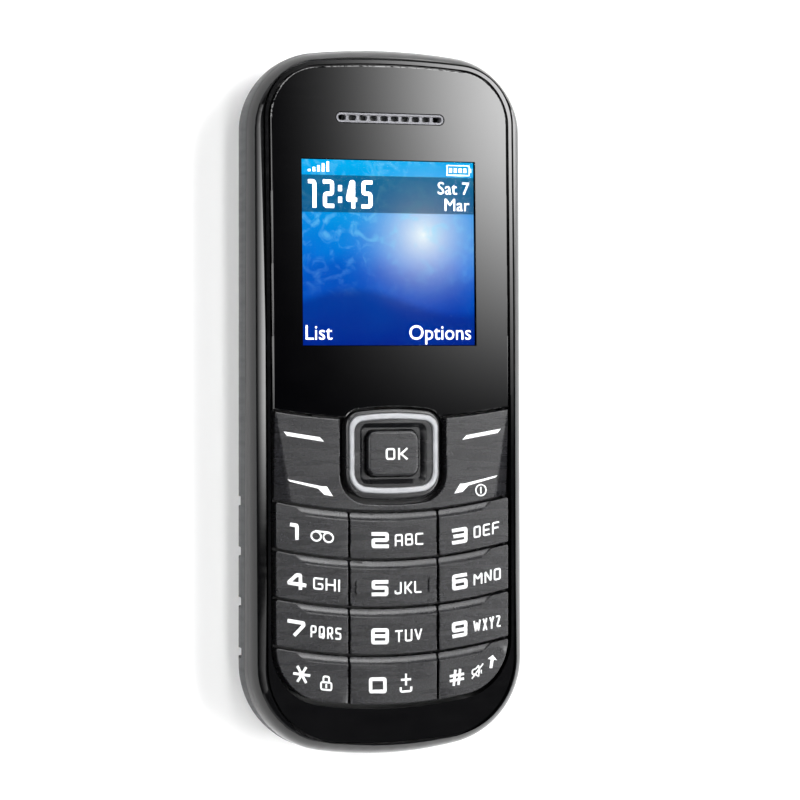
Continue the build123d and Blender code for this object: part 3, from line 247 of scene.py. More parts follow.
# Display window: clear acrylic, printed black on its outer faces except over the picture.
# It is taped to the bezel, and the earpiece slot is cut through it; its top is one even crown.
print_left = -14.55
print_right = 14.0
print_low = 8.65
print_top = 37.08
window = skin_of("display_window", "root", 3)
window_black = finish_of("window_black_print", "020203", "040405", 0.015, 0.04, patch=150.0)
window_clear = finish_of("window_clear_acrylic", "fbfcfd", "ffffff", 0.0, 0.015, patch=150.0)
clear_surface = window_clear.node_tree.nodes["Principled BSDF"]
clear_surface.inputs["Transmission Weight"].default_value = 1.0
clear_surface.inputs["IOR"].default_value = 1.05
window.data.materials.append(window_black)
window.data.materials.append(window_clear)
pick(window)
bpy.ops.object.mode_set(mode="EDIT")
for place, normal in (
    ((print_right, 0, 0), (1, 0, 0)),
    ((print_left, 0, 0), (1, 0, 0)),
    ((0, print_low, 0), (0, 1, 0)),
    ((0, print_top, 0), (0, 1, 0)),
):
    bpy.ops.mesh.select_all(action="SELECT")
    bpy.ops.mesh.bisect(plane_co=Vector(place) * millimetre, plane_no=normal)
bpy.ops.object.mode_set(mode="OBJECT")
for face in window.data.polygons:
    middle = face.center / millimetre
    level = abs(face.normal.z) > 0.7
    clear = print_left < middle.x < print_right and print_low < middle.y < print_top and level
    face.material_index = int(clear)
crown_radius = 2600.0
crown_y = -8.0
crown_above = 12.0
bends = [tuple(corner.vector) for corner in window.data.corner_normals]
for face in window.data.polygons:
    if face.normal.z > 0.99 and face.center.z > crown_above * millimetre:
        for corner in face.loop_indices:
            y = window.data.vertices[window.data.loops[corner].vertex_index].co.y / millimetre
            bends[corner] = tuple(Vector((0, (y - crown_y) / crown_radius, 1)).normalized())
window.data.normals_split_custom_set(bends)
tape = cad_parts["window_tape"]
tape.data.materials.clear()
tape.data.materials.append(finish_of("tape_film", "101012", "17171a", 0.4, 0.6))


# Display: a colour panel under the window, lit from behind by its own light frame.
# The wallpaper, clock and labels shown on it are generic.
picture_half = 14.4
picture_low = 8.8
picture_top = 37.0
band_low = 0.715
band_top = 0.915


def ranged(nodes, join, value, low, high, to_low=0.0, to_high=1.0, kind="LINEAR"):
    """Map Range node from low..high; returns its result socket."""
    node = nodes.new("ShaderNodeMapRange")
    node.interpolation_type = kind
    node.inputs["From Min"].default_value = low
    node.inputs["From Max"].default_value = high
    node.inputs["To Min"].default_value = to_low
    node.inputs["To Max"].default_value = to_high
    join(value, node.inputs["Value"])
    return node.outputs["Result"]


def worked(nodes, join, operation, *values):
    """Math node on sockets or numbers; returns its result socket."""
    node = nodes.new("ShaderNodeMath")
    node.operation = operation
    for index, value in enumerate(values):
        if isinstance(value, (int, float)):
            node.inputs[index].default_value = value
        else:
            join(value, node.inputs[index])
    return node.outputs[0]


def mixed(nodes, join, share, low, high, way="MIX"):
    """Colour Mix node; colours are codes or sockets; returns its result socket."""
    node = nodes.new("ShaderNodeMix")
    node.data_type = "RGBA"
    node.blend_type = way
    for label, value in (("Factor", share), ("A", low), ("B", high)):
        if isinstance(value, str):
            node.inputs[label].default_value = tone(value)
        elif isinstance(value, (int, float)):
            node.inputs[label].default_value = value
        else:
            join(value, node.inputs[label])
    return node.outputs["Result"]


def picture_material():
    """Lit panel: blue field with a glow and two low swells, darker strip for the clock."""
    material = finish_of("display_picture", "050608", "08090c", 0.12, 0.2)
    nodes, join = material.node_tree.nodes, material.node_tree.links.new
    surface = nodes["Principled BSDF"]
    surface.inputs["Specular IOR Level"].default_value = 0.0
    place = nodes.new("ShaderNodeTexCoord")
    axes = nodes.new("ShaderNodeSeparateXYZ")
    join(place.outputs["Object"], axes.inputs["Vector"])
    half, low, top = (v * millimetre for v in (picture_half, picture_low, picture_top))
    across = ranged(nodes, join, axes.outputs["X"], -half, half)
    up = ranged(nodes, join, axes.outputs["Y"], low, top)
    ripple = nodes.new("ShaderNodeTexNoise")
    ripple.inputs["Scale"].default_value = 130.0
    ripple.inputs["Detail"].default_value = 4.0
    join(place.outputs["Object"], ripple.inputs["Vector"])
    sway = ranged(nodes, join, ripple.outputs["Fac"], 0.3, 0.7, -0.07, 0.07)
    height = worked(nodes, join, "ADD", up, sway)
    field = mixed(nodes, join, ranged(nodes, join, height, 0.0, 0.45), "00219b", "006cd8")
    field = mixed(nodes, join, ranged(nodes, join, height, 0.4, 1.0), field, "00b0f4")
    swell = worked(nodes, join, "SINE", worked(nodes, join, "MULTIPLY", across, 5.2))
    lift = worked(nodes, join, "MULTIPLY", swell, 0.07)
    hill = worked(nodes, join, "SUBTRACT", up, lift)
    near = ranged(nodes, join, hill, 0.2, 0.26, 1.0, 0.0, "SMOOTHSTEP")
    far = ranged(nodes, join, hill, 0.34, 0.47, 1.0, 0.0, "SMOOTHSTEP")
    field = mixed(nodes, join, worked(nodes, join, "MULTIPLY", far, 0.42), field, "003cb4")
    field = mixed(nodes, join, worked(nodes, join, "MULTIPLY", near, 0.5), field, "001a78")
    aside = worked(nodes, join, "SUBTRACT", across, 0.7)
    above = worked(nodes, join, "SUBTRACT", up, 0.6)
    reach = worked(nodes, join, "SQRT", worked(
        nodes, join, "ADD",
        worked(nodes, join, "MULTIPLY", aside, aside),
        worked(nodes, join, "MULTIPLY", above, above),
    ))
    glow = worked(nodes, join, "POWER", ranged(nodes, join, reach, 0.5, 0.0), 2.6)
    field = mixed(nodes, join, glow, field, "f2fbff", "SCREEN")
    streaks = nodes.new("ShaderNodeTexNoise")
    streaks.inputs["Scale"].default_value = 420.0
    streaks.inputs["Detail"].default_value = 6.0
    streaks.inputs["Distortion"].default_value = 1.2
    join(place.outputs["Object"], streaks.inputs["Vector"])
    shine = ranged(nodes, join, streaks.outputs["Fac"], 0.5, 0.72, 0.0, 0.5)
    shine = worked(nodes, join, "MULTIPLY", shine, ranged(nodes, join, up, 0.25, 0.7))
    field = mixed(nodes, join, shine, field, "86e0ff")
    over = ranged(nodes, join, up, band_low, band_low + 0.004)
    under = ranged(nodes, join, up, band_top, band_top + 0.004, 1.0, 0.0)
    strip = worked(nodes, join, "MULTIPLY", worked(nodes, join, "MULTIPLY", over, under), 0.72)
    field = mixed(nodes, join, strip, field, "0a3550")
    inside = worked(
        nodes, join, "MULTIPLY",
        ranged(nodes, join, worked(nodes, join, "ABSOLUTE", axes.outputs["X"]),
               half, half + 0.02 * millimetre, 1.0, 0.0),
        worked(nodes, join, "MULTIPLY",
               ranged(nodes, join, axes.outputs["Y"], low - 0.02 * millimetre, low),
               ranged(nodes, join, axes.outputs["Y"], top, top + 0.02 * millimetre, 1.0, 0.0)),
    )
    lit = mixed(nodes, join, inside, "020203", field)
    join(lit, surface.inputs["Emission Color"])
    surface.inputs["Emission Strength"].default_value = 1.0
    return material


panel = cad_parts["lcd_panel"]
panel.data.materials.clear()
panel.data.materials.append(picture_material())
panel_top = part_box("lcd_panel")[1].z / millimetre

# Signs on the screen and the keys: each is a pen line of even width with rounded corners.
# Points are shares of the sign's box, from its lower left; a sign can have several lines.
ring_turns = [i / 16 for i in range(17)]
circle = [(0.5 + 0.5 * cos(tau * t), 0.5 + 0.5 * sin(tau * t)) for t in ring_turns]
signs = {
    "0": [[(0.5, 0), (0, 0), (0, 1), (1, 1), (1, 0), (0.5, 0)]],
    "1": [[(0.1, 1), (0.72, 1), (0.72, 0)]],
    "2": [[(0, 1), (1, 1), (1, 0.5), (0, 0.5), (0, 0), (1, 0)]],
    "3": [[(0, 1), (1, 1), (1, 0), (0, 0)], [(0.12, 0.5), (1, 0.5)]],
    "4": [[(0.74, 0), (0.74, 1), (0.5, 1), (0, 0.34), (0, 0.27), (1, 0.27)]],
    "5": [[(1, 1), (0, 1), (0, 0.53), (1, 0.53), (1, 0), (0, 0)]],
    "6": [[(0.95, 1), (0, 1), (0, 0), (1, 0), (1, 0.55), (0, 0.55)]],
    "7": [[(0, 1), (1, 1), (1, 0.8), (0.42, 0)]],
    "8": [[(0.5, 0), (0, 0), (0, 1), (1, 1), (1, 0), (0.5, 0)], [(0, 0.52), (1, 0.52)]],
    "9": [[(0.05, 0), (1, 0), (1, 1), (0, 1), (0, 0.45), (1, 0.45)]],
    ":": [[(0.5, 0.22), (0.5, 0.3)], [(0.5, 0.7), (0.5, 0.78)]],
    "*": [[(0, 0.5), (1, 0.5)], [(0.24, 0), (0.76, 1)], [(0.24, 1), (0.76, 0)]],
    "#": [
        [(0.24, 0), (0.36, 1)], [(0.64, 0), (0.76, 1)],
        [(0, 0.32), (1, 0.32)], [(0, 0.68), (1, 0.68)],
    ],
    "A": [[(0, 0), (0, 1), (1, 1), (1, 0)], [(0, 0.42), (1, 0.42)]],
    "B": [
        [(0.4, 0), (0, 0), (0, 1), (0.94, 1), (0.94, 0.52)],
        [(0, 0.52), (1, 0.52), (1, 0), (0.3, 0)],
    ],
    "C": [[(1, 1), (0, 1), (0, 0), (1, 0)]],
    "D": [[(0.5, 0), (0, 0), (0, 1), (1, 1), (1, 0), (0.5, 0)]],
    "E": [[(1, 1), (0, 1), (0, 0), (1, 0)], [(0, 0.5), (0.9, 0.5)]],
    "F": [[(1, 1), (0, 1), (0, 0)], [(0, 0.5), (0.9, 0.5)]],
    "G": [[(1, 1), (0, 1), (0, 0), (1, 0), (1, 0.48), (0.55, 0.48)]],
    "H": [[(0, 0), (0, 1)], [(1, 0), (1, 1)], [(0, 0.5), (1, 0.5)]],
    "I": [[(0.5, 0), (0.5, 1)]],
    "J": [[(0.9, 1), (0.9, 0), (0, 0), (0, 0.2)]],
    "K": [[(0, 0), (0, 1)], [(1, 1), (0.28, 0.5)], [(0, 0.5), (0.4, 0.5)], [(0.28, 0.5), (1, 0)]],
    "L": [[(0, 1), (0, 0), (0.95, 0)]],
    "M": [[(0, 0), (0, 1), (0.5, 0.45), (1, 1), (1, 0)]],
    "N": [[(0, 0), (0, 1), (1, 0), (1, 1)]],
    "O": [[(0.5, 0), (0, 0), (0, 1), (1, 1), (1, 0), (0.5, 0)]],
    "P": [[(0, 0), (0, 1), (1, 1), (1, 0.42), (0, 0.42)]],
    "Q": [[(0.5, 0), (0, 0), (0, 1), (1, 1), (1, 0), (0.5, 0)], [(0.6, 0.3), (0.8, -0.05)]],
    "R": [[(0, 0), (0, 1), (1, 1), (1, 0.42), (0, 0.42)], [(0.5, 0.42), (1, 0)]],
    "S": [[(1, 1), (0, 1), (0, 0.52), (1, 0.52), (1, 0), (0, 0)]],
    "T": [[(0, 1), (1, 1)], [(0.5, 1), (0.5, 0)]],
    "U": [[(0, 1), (0, 0), (1, 0), (1, 1)]],
    "V": [[(0, 1), (0.5, 0), (1, 1)]],
    "W": [[(0, 1), (0.25, 0), (0.5, 0.9), (0.75, 0), (1, 1)]],
    "X": [[(0, 0), (1, 1)], [(0, 1), (1, 0)]],
    "Y": [[(0, 1), (0.5, 0.48), (1, 1)], [(0.5, 0.48), (0.5, 0)]],
    "Z": [[(0, 1), (1, 1), (0, 0), (1, 0)]],
    "message": [
        [(0.28 * (x - 0.5) * 1.6 + 0.22, y * 0.82) for x, y in circle],
        [(0.28 * (x - 0.5) * 1.6 + 0.78, y * 0.82) for x, y in circle],
        [(0.22, 0.86), (0.78, 0.86)],
    ],
    "lock": [
        [(0.5, 0), (0.02, 0), (0.02, 0.56), (0.98, 0.56), (0.98, 0), (0.5, 0)],
        [(0.24, 0.56), (0.24, 1), (0.76, 1), (0.76, 0.56)],
        [(0.5, 0.18), (0.5, 0.36)],
    ],
    "plus": [
        [(0.5, 0.42), (0.5, 1)], [(0.12, 0.71), (0.88, 0.71)],
        [(0, 0.2), (0, 0), (1, 0), (1, 0.2)],
    ],
    "mute": [
        [(0.3, 0.3), (0, 0.3), (0, 0.7), (0.3, 0.7), (0.62, 1), (0.62, 0), (0.3, 0.3)],
        [(0.0, 0.02), (0.98, 0.98)],
        [(0.84, 0.3), (0.84, 0.5)],
    ],
    "power": [circle, [(0.5, 0.26), (0.5, 0.74)]],
}


def pen_line(stroke, width, height, line, corner):
    """Points of one pen line in millimetres about its box's middle, with its corners rounded."""
    inner = [
        Vector(((x - 0.5) * (width - line), (y - 0.5) * (height - line), 0)) for x, y in stroke
    ]
    if (inner[0] - inner[-1]).length > 0.01:
        inner[0] += (inner[0] - inner[1]).normalized() * line / 2
        inner[-1] += (inner[-1] - inner[-2]).normalized() * line / 2
    path = [inner[0]]
    for before, here, after in zip(inner, inner[1:], inner[2:]):
        cut = min(corner, (before - here).length / 2, (after - here).length / 2)
        start = here + (before - here).normalized() * cut
        end = here + (after - here).normalized() * cut
        for step in range(5):
            t = step / 4
            path.append(start * (1 - t) ** 2 + here * 2 * t * (1 - t) + end * t * t)
    path.append(inner[-1])
    dense = [path[0]]
    for point in path[1:]:
        gap = (point - dense[-1]).length
        if gap < 0.01:
            continue
        last = dense[-1].copy()
        pieces = max(1, int(gap / 0.35))
        dense += [last.lerp(point, (i + 1) / pieces) for i in range(pieces)]
    return dense


line_step = 0.003


def pen_drawing(name, lines, line, level):
    """Flat ribbons of this width along the lines, as one mesh at this height."""
    curve = bpy.data.curves.new(name, "CURVE")
    curve.dimensions = "3D"
    curve.twist_mode = "Z_UP"
    curve.extrude = line / 2 * millimetre
    for index, points in enumerate(lines):
        height = (level + line_step * (index % 5)) * millimetre
        spline = curve.splines.new("POLY")
        spline.points.add(len(points) - 1)
        for knot, point in zip(spline.points, points):
            knot.co = (point.x * millimetre, point.y * millimetre, height, 1)
            knot.tilt = pi / 2
    piece = bpy.data.objects.new(name, curve)
    bpy.context.scene.collection.objects.link(piece)
    pick(piece)
    bpy.ops.object.convert(target="MESH")
    return bpy.context.view_layer.objects.active


def sign_lines(sign, middle, width, height, line, corner, slope=0.0):
    """Pen lines of one sign at its middle, its level lines rising by this slope."""
    lean = Matrix.Identity(4)
    lean[1][0] = slope
    placed = Matrix.Translation((middle[0], middle[1], 0)) @ lean
    return [[placed @ p for p in pen_line(s, width, height, line, corner)] for s in signs[sign]]


def word_lines(word, middle, width, height, line, corner, gap, slope=0.0):
    """Pen lines of a word spread over this width."""
    shares = [{"I": 0.25, ":": 0.25, "W": 1.6, "M": 1.25}.get(c, 1.0) for c in word]
    each = (width - gap * (len(word) - 1)) / sum(shares)
    left, lines = -width / 2, []
    for letter, share in zip(word, shares):
        centre = left + each * share / 2
        left += each * share + gap
        spot = (middle[0] + centre, middle[1] + centre * slope)
        wide = max(each * share, line * 1.01)
        lines += sign_lines(letter, spot, wide, height, line, corner, slope)
    return lines


def printed_on(piece, target, sink, proud):
    """Lays flat print on a curved face and gives it the thickness of a print."""
    lowest = min(vertex.co.z for vertex in piece.data.vertices)
    steps = [vertex.co.z - lowest for vertex in piece.data.vertices]
    pick(piece)
    wrap = piece.modifiers.new("laid_on", "SHRINKWRAP")
    wrap.target = target
    wrap.wrap_method = "PROJECT"
    wrap.use_project_z = True
    wrap.use_negative_direction = True
    wrap.use_positive_direction = False
    wrap.wrap_mode = "ABOVE_SURFACE"
    wrap.offset = proud * millimetre
    bpy.ops.object.modifier_apply(modifier=wrap.name)
    for vertex, step in zip(piece.data.vertices, steps):
        vertex.co.z += step
    film = piece.modifiers.new("film", "SOLIDIFY")
    film.thickness = (sink + proud) * millimetre
    film.offset = -1
    bpy.ops.object.modifier_apply(modifier=film.name)


def patch_mesh(name, corners, level, cuts=0):
    """Flat face with these corners in millimetres, divided so that it can follow a curved face."""
    bpy.ops.object.select_all(action="DESELECT")
    bpy.ops.mesh.primitive_circle_add(vertices=len(corners), radius=millimetre, fill_type="NGON")
    piece = bpy.context.active_object
    piece.name = name
    for vertex, corner in zip(piece.data.vertices, corners):
        vertex.co = (corner[0] * millimetre, corner[1] * millimetre, level * millimetre)
    bpy.ops.object.mode_set(mode="EDIT")
    bpy.ops.mesh.select_all(action="SELECT")
    bpy.ops.mesh.quads_convert_to_tris()
    if cuts:
        bpy.ops.mesh.subdivide(number_cuts=cuts)
    bpy.ops.mesh.normals_make_consistent(inside=False)
    bpy.ops.object.mode_set(mode="OBJECT")
    if piece.data.polygons[0].normal.z < 0:
        bpy.ops.object.mode_set(mode="EDIT")
        bpy.ops.mesh.flip_normals()
        bpy.ops.object.mode_set(mode="OBJECT")
    return piece


def joined(name, pieces):
    """These meshes as one object."""
    pick(*pieces)
    bpy.ops.object.join()
    whole = bpy.context.active_object
    whole.name = name
    return whole


def lit_material(name, code, patch):
    """Lit picture element: even light with a faint unevenness of the panel."""
    material = finish_of(name, "0a0a0a", "101010", 0.3, 0.4)
    nodes, join = material.node_tree.nodes, material.node_tree.links.new
    surface = nodes["Principled BSDF"]
    colour = nodes["colour"]
    colour.inputs["Dark"].default_value = tone(patch)
    colour.inputs["Light"].default_value = tone(code)
    join(colour.outputs["Color"], surface.inputs["Emission Color"])
    surface.inputs["Emission Strength"].default_value = 1.0
    return material


lit_white = lit_material("lit_white", "ffffff", "f6f9fb")
sign_lift = 0.01
sign_level = panel_top + sign_lift
clock_line = 0.62
span_x = 2 * picture_half
span_y = picture_top - picture_low


def on_screen(across, up):
    """Millimetres of a place given as shares of the picture."""
    return (-picture_half + across * span_x, picture_low + up * span_y)


clock = pen_drawing(
    "screen_clock",
    word_lines("12:45", on_screen(0.225, 0.816), 10.6, 4.3, clock_line, 0.35, 0.75),
    clock_line,
    sign_level,
)
screen_pieces = [clock]
for index in range(5):
    x, y = on_screen(0.045 + 0.026 * index, 0.935)
    tall = 0.35 + 0.3 * index
    bar = [(x, y), (x + 0.42, y), (x + 0.42, y + tall), (x, y + tall)]
    screen_pieces.append(patch_mesh("screen_bar", bar, sign_level))
x, y = on_screen(0.84, 0.93)
frame_line = [Vector((x + a, y + b, 0)) for a, b in (
    (1.8, 0), (0, 0), (0, 1.5), (3.7, 1.5), (3.7, 0), (1.8, 0))]
cap_line = [Vector((x + 3.95, y + 0.45, 0)), Vector((x + 3.95, y + 1.05, 0))]
screen_pieces.append(pen_drawing("screen_cell", [frame_line, cap_line], 0.2, sign_level))
for index in range(4):
    left = x + 0.33 + 0.8 * index
    bar = [(left, y + 0.42), (left + 0.5, y + 0.42), (left + 0.5, y + 1.08), (left, y + 1.08)]
    screen_pieces.append(patch_mesh("screen_charge", bar, sign_level))


def screen_word(word, place, height, align):
    """A word in the built-in letters, as a mesh on the screen."""
    bpy.ops.object.select_all(action="DESELECT")
    bpy.ops.object.text_add(location=(0, 0, 0))
    piece = bpy.context.active_object
    piece.data.body = word
    piece.data.size = height * 1.36 * millimetre
    piece.data.align_x = align
    piece.data.resolution_u = 3
    bpy.ops.object.convert(target="MESH")
    piece = bpy.context.active_object
    spot = Vector((*place, sign_level)) * millimetre
    piece.data.transform(Matrix.Translation(spot))
    return piece


screen_pieces.append(screen_word("Sat 7", on_screen(0.97, 0.825), 2.0, "RIGHT"))
screen_pieces.append(screen_word("Mar", on_screen(0.97, 0.735), 2.0, "RIGHT"))
screen_pieces.append(screen_word("List", on_screen(0.02, 0.03), 2.35, "LEFT"))
screen_pieces.append(screen_word("Options", on_screen(0.98, 0.03), 2.35, "RIGHT"))
screen_signs = joined("screen_signs", screen_pieces)
screen_signs.data.materials.clear()
screen_signs.data.materials.append(lit_white)
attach(screen_signs, "root")


# Earpiece grille: a grey moulding with a row of small holes.
# It fills the window's slot, in front of the earpiece.
grille = skin_of("earpiece_grille", "root")
grille.data.materials.append(
    finish_of("grille_moulding", "5c5c60", "6c6c71", 0.36, 0.46, 0.3, grit=9000.0, depth=0.003)
)


# Function plate: one rocking plate in dark sprayed plastic round the navigation ring.
# Its four corners are the soft keys and the call and end keys; the marks are printed white.
def sprayed_material():
    """Dark metallic spray: fine bright specks in a grey coat, slightly rough."""
    material = finish_of(
        "sprayed_key_grey", "060607", "0b0b0c", 0.26, 0.32, 0.2, 300.0, 5200.0, 0.012
    )
    nodes, join = material.node_tree.nodes, material.node_tree.links.new
    surface = nodes["Principled BSDF"]
    place = nodes.new("ShaderNodeTexCoord")
    flakes = nodes.new("ShaderNodeTexNoise")
    flakes.inputs["Scale"].default_value = 4200.0
    flakes.inputs["Detail"].default_value = 2.0
    join(place.outputs["Object"], flakes.inputs["Vector"])
    bright = ranged(nodes, join, flakes.outputs["Fac"], 0.42, 0.72, 0.0, 0.55)
    coat = mixed(nodes, join, bright, nodes["colour"].outputs["Color"], "34343a")
    join(coat, surface.inputs["Base Color"])
    return material


sprayed = sprayed_material()
print_white = finish_of("printed_white", "eeeff0", "fafafa", 0.45, 0.55, patch=900.0)
plate = skin_of("function_plate", "function_keys")
plate.data.materials.append(sprayed)
facet_top = Vector((19.1, -1.2, 0))
facet_foot = Vector((17.1, -14.5, 0))
facet_fall = 0.13
facet_depth = 1.0
pick(plate)
bpy.ops.object.mode_set(mode="EDIT")
bpy.ops.mesh.select_all(action="SELECT")
facets = []
for side in (-1, 1):
    start = Vector((side * facet_top.x, facet_top.y, 0)) * millimetre
    run = Vector((side * facet_foot.x, facet_foot.y, 0)) * millimetre - start
    outward = Vector((side * abs(run.y), -abs(run.x), 0)).normalized()
    facets.append((start, outward))
    bpy.ops.mesh.select_all(action="SELECT")
    bpy.ops.mesh.bisect(plane_co=start, plane_no=outward)
bpy.ops.object.mode_set(mode="OBJECT")
plate_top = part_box("function_plate")[1].z
for vertex in plate.data.vertices:
    for start, outward in facets:
        beyond = (vertex.co - start).dot(outward)
        if beyond > 0 and vertex.co.z > plate_top - facet_depth * millimetre:
            vertex.co.z -= beyond * facet_fall
shaded(plate, 4)
print_sink = 0.02
print_proud = 0.012
above_keys = 15.0
soft_mark = [(17.88, -4.2), (12.06, -5.14), (11.39, -5.82), (17.33, -4.85)]
call_mark = [
    (17.3, -11.4), (11.74, -12.58), (10.97, -12.6), (10.0, -14.1),
    (11.4, -13.84), (12.36, -12.9), (16.9, -11.75),
]
power_line = 0.22
ok_line = 0.31
marks = []
for side in (-1, 1):
    for corners in (soft_mark, call_mark):
        corners = [(side * cx, cy) for cx, cy in corners]
        marks.append(patch_mesh("plate_mark", corners, above_keys, 5))
marks.append(pen_drawing(
    "plate_power",
    sign_lines("power", (14.47, -13.66), 1.95, 1.95, power_line, 0.1),
    power_line,
    above_keys,
))
plate_marks = joined("function_plate_marks", marks)
plate_marks.data.materials.clear()
plate_marks.data.materials.append(print_white)
printed_on(plate_marks, plate, print_sink, print_proud)
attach(plate_marks, "function_keys")


# Navigation ring: dark moulding with a satin silver band let into its rim.
# The ring tips four ways; its inside falls away as a dish round the OK key.
nav_ring = skin_of("nav_ring", "nav")
nav_ring.data.materials.append(
    finish_of("nav_black", "141416", "1c1c1e", 0.22, 0.3, grit=9000.0, depth=0.003)
)
nav_trim = skin_of("nav_trim", "nav")
nav_trim.data.materials.append(
    finish_of("satin_silver", "808184", "8e8f92", 0.42, 0.5, 0.55, 500.0, 12000.0, 0.002)
)


# OK key: sprayed like the keypad, standing in the dish of the ring.
# It presses straight down on the middle dome.
ok_key = skin_of("ok_key", "ok")
ok_key.data.materials.append(sprayed)
ok_sign = pen_drawing(
    "ok_key_legend",
    word_lines("OK", (0.41, -7.85), 3.6, 1.8, ok_line, 0.3, 0.46),
    ok_line,
    above_keys,
)
ok_sign.data.materials.append(print_white)
printed_on(ok_sign, ok_key, print_sink, print_proud)
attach(ok_sign, "ok")


# Number keys: twelve caps of sprayed plastic on one silicone mat, each pressing on its own.
# The legends are printed white and follow the arcs of the rows.
row_arc = 86.0
digit_high = 2.45
digit_line = 0.56
letter_high = 1.85
letter_line = 0.28
legends = {
    "key_1": [("1", -16.1, -19.3, 1.9), ("message", -11.74, -20.07, 3.8)],
    "key_2": [("2", -2.31, -20.97, 2.85), ("ABC", 2.44, -20.99, 4.7)],
    "key_3": [("3", 10.89, -20.63, 2.6), ("DEF", 15.37, -19.82, 4.3)],
    "key_4": [("4", -15.87, -26.81, 3.05), ("GHI", -11.02, -27.47, 4.4)],
    "key_5": [("5", -2.36, -28.3, 2.75), ("JKL", 2.29, -28.36, 4.5)],
    "key_6": [("6", 10.89, -27.72, 2.6), ("MNO", 15.5, -27.06, 4.6)],
    "key_7": [("7", -15.94, -33.93, 2.85), ("PQRS", -11.18, -34.75, 5.0)],
    "key_8": [("8", -2.36, -35.67, 2.9), ("TUV", 2.36, -35.7, 4.45)],
    "key_9": [("9", 10.85, -35.08, 2.6), ("WXYZ", 15.47, -34.41, 4.6)],
    "key_star": [("*", -15.08, -40.95, 2.75), ("lock", -11.13, -42.44, 2.05)],
    "key_0": [("0", -2.73, -43.15, 2.9), ("plus", 1.92, -43.0, 2.1)],
    "key_hash": [("#", 10.4, -42.51, 2.4), ("mute", 13.88, -41.69, 2.0)],
}
symbol_sizes = {
    "message": (2.0, 0.28), "lock": (2.3, 0.28), "plus": (2.9, 0.34), "mute": (2.1, 0.22),
}
for node, parts in legends.items():
    cap = skin_of(node, node)
    cap.data.materials.append(sprayed)
    drawn = []
    for sign, x, y, width in parts:
        slope = x / row_arc
        if sign in symbol_sizes:
            high, line = symbol_sizes[sign]
            lines = sign_lines(sign, (x, y), width, high, line, 0.3, slope)
        elif len(sign) > 1:
            line = letter_line
            lines = word_lines(sign, (x, y), width, letter_high, line, 0.24, 0.36, slope)
        else:
            line = 0.4 if sign in "*#" else digit_line
            lines = sign_lines(sign, (x, y), width, digit_high, line, 0.16, slope)
        drawn.append(pen_drawing(node + "_sign", lines, line, above_keys))
    if node == "key_hash":
        arrow = [
            (15.9, -41.3), (16.35, -41.3), (16.6, -40.0), (17.15, -40.1),
            (16.45, -39.3), (15.6, -39.85), (16.1, -39.95),
        ]
        drawn.append(patch_mesh("key_hash_arrow", arrow, above_keys, 2))
    legend = joined(node + "_legend", drawn)
    legend.data.materials.clear()
    legend.data.materials.append(print_white)
    printed_on(legend, cap, print_sink, print_proud)
    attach(legend, node)


# Rear cover: matte charcoal shell, moulded with a fine texture and snapped to the chassis.
# Sound slots, grip grooves and the thumb notch are part of the moulding.
cover = skin_of("battery_cover", "cover")
cover.data.materials.append(
    finish_of(
        "cover_charcoal", "232527", "2b2d2f", 0.46, 0.56, patch=500.0, grit=3200.0, depth=0.02
    )
)


# Inner mouldings and metalwork: chassis, supports and the parts soldered to the board.
# They keep their CAD shapes; each has the finish of its own material.
def inner_finish(nodes_of, material):
    """Gives these CAD nodes one finish."""
    for node in nodes_of:
        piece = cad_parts[node]
        piece.data.materials.clear()
        piece.data.materials.append(material)


inner_finish(
    ["chassis", "sim_holder", "microphone_boot", "earpiece", "microphone", "loudspeaker",
     "headset_jack"],
    finish_of("inner_black_plastic", "18181a", "222225", 0.42, 0.6, grit=4000.0, depth=0.012),
)
inner_finish(["antenna"], finish_of("antenna_film", "8f6a3a", "a57f4a", 0.3, 0.45, 0.6))
inner_finish(
    ["battery"],
    finish_of(
        "battery_wrap_grey", "8d9094", "9ea1a5", 0.38, 0.5,
        patch=200.0, grit=5000.0, depth=0.003,
    ),
)
inner_finish(
    ["battery_pads", "battery_terminals", "sim_contacts", "antenna_springs"],
    finish_of("gold_plating", "c99a3c", "e0b458", 0.2, 0.34, 1.0),
)
inner_finish(
    ["board_shields", "vibration_motor", "charging_socket"],
    finish_of("tinned_steel", "a9abae", "bdbfc2", 0.28, 0.42, 1.0, grit=3000.0, depth=0.003),
)
inner_finish(
    ["vibration_weight"],
    finish_of("tungsten_grey", "6e6f72", "7f8083", 0.3, 0.45, 1.0),
)
inner_finish(["chassis_screws"], finish_of("black_screw", "2c2c2f", "3b3b3f", 0.3, 0.4, 0.9))
inner_finish(["main_board"], finish_of("black_board", "0c100d", "121713", 0.3, 0.42))
inner_finish(["sim_card"], finish_of("white_card", "e6e7e9", "f1f2f3", 0.35, 0.5))
inner_finish(
    ["speaker_gasket"],
    finish_of("black_foam", "141415", "252526", 0.8, 0.95, grit=1500.0, depth=0.08),
)
inner_finish(
    ["keypad_mat", "function_pad", "nav_pad"],
    finish_of("black_silicone", "0d0d0e", "151517", 0.5, 0.62),
)
inner_finish(["dome_sheet", "lcd_flex"], finish_of("dark_flex", "1c150f", "2a2017", 0.3, 0.45))
inner_finish(
    ["backlight_frame", "keypad_lights"],
    finish_of("white_reflector", "dfe1e3", "eceef0", 0.4, 0.5),
)


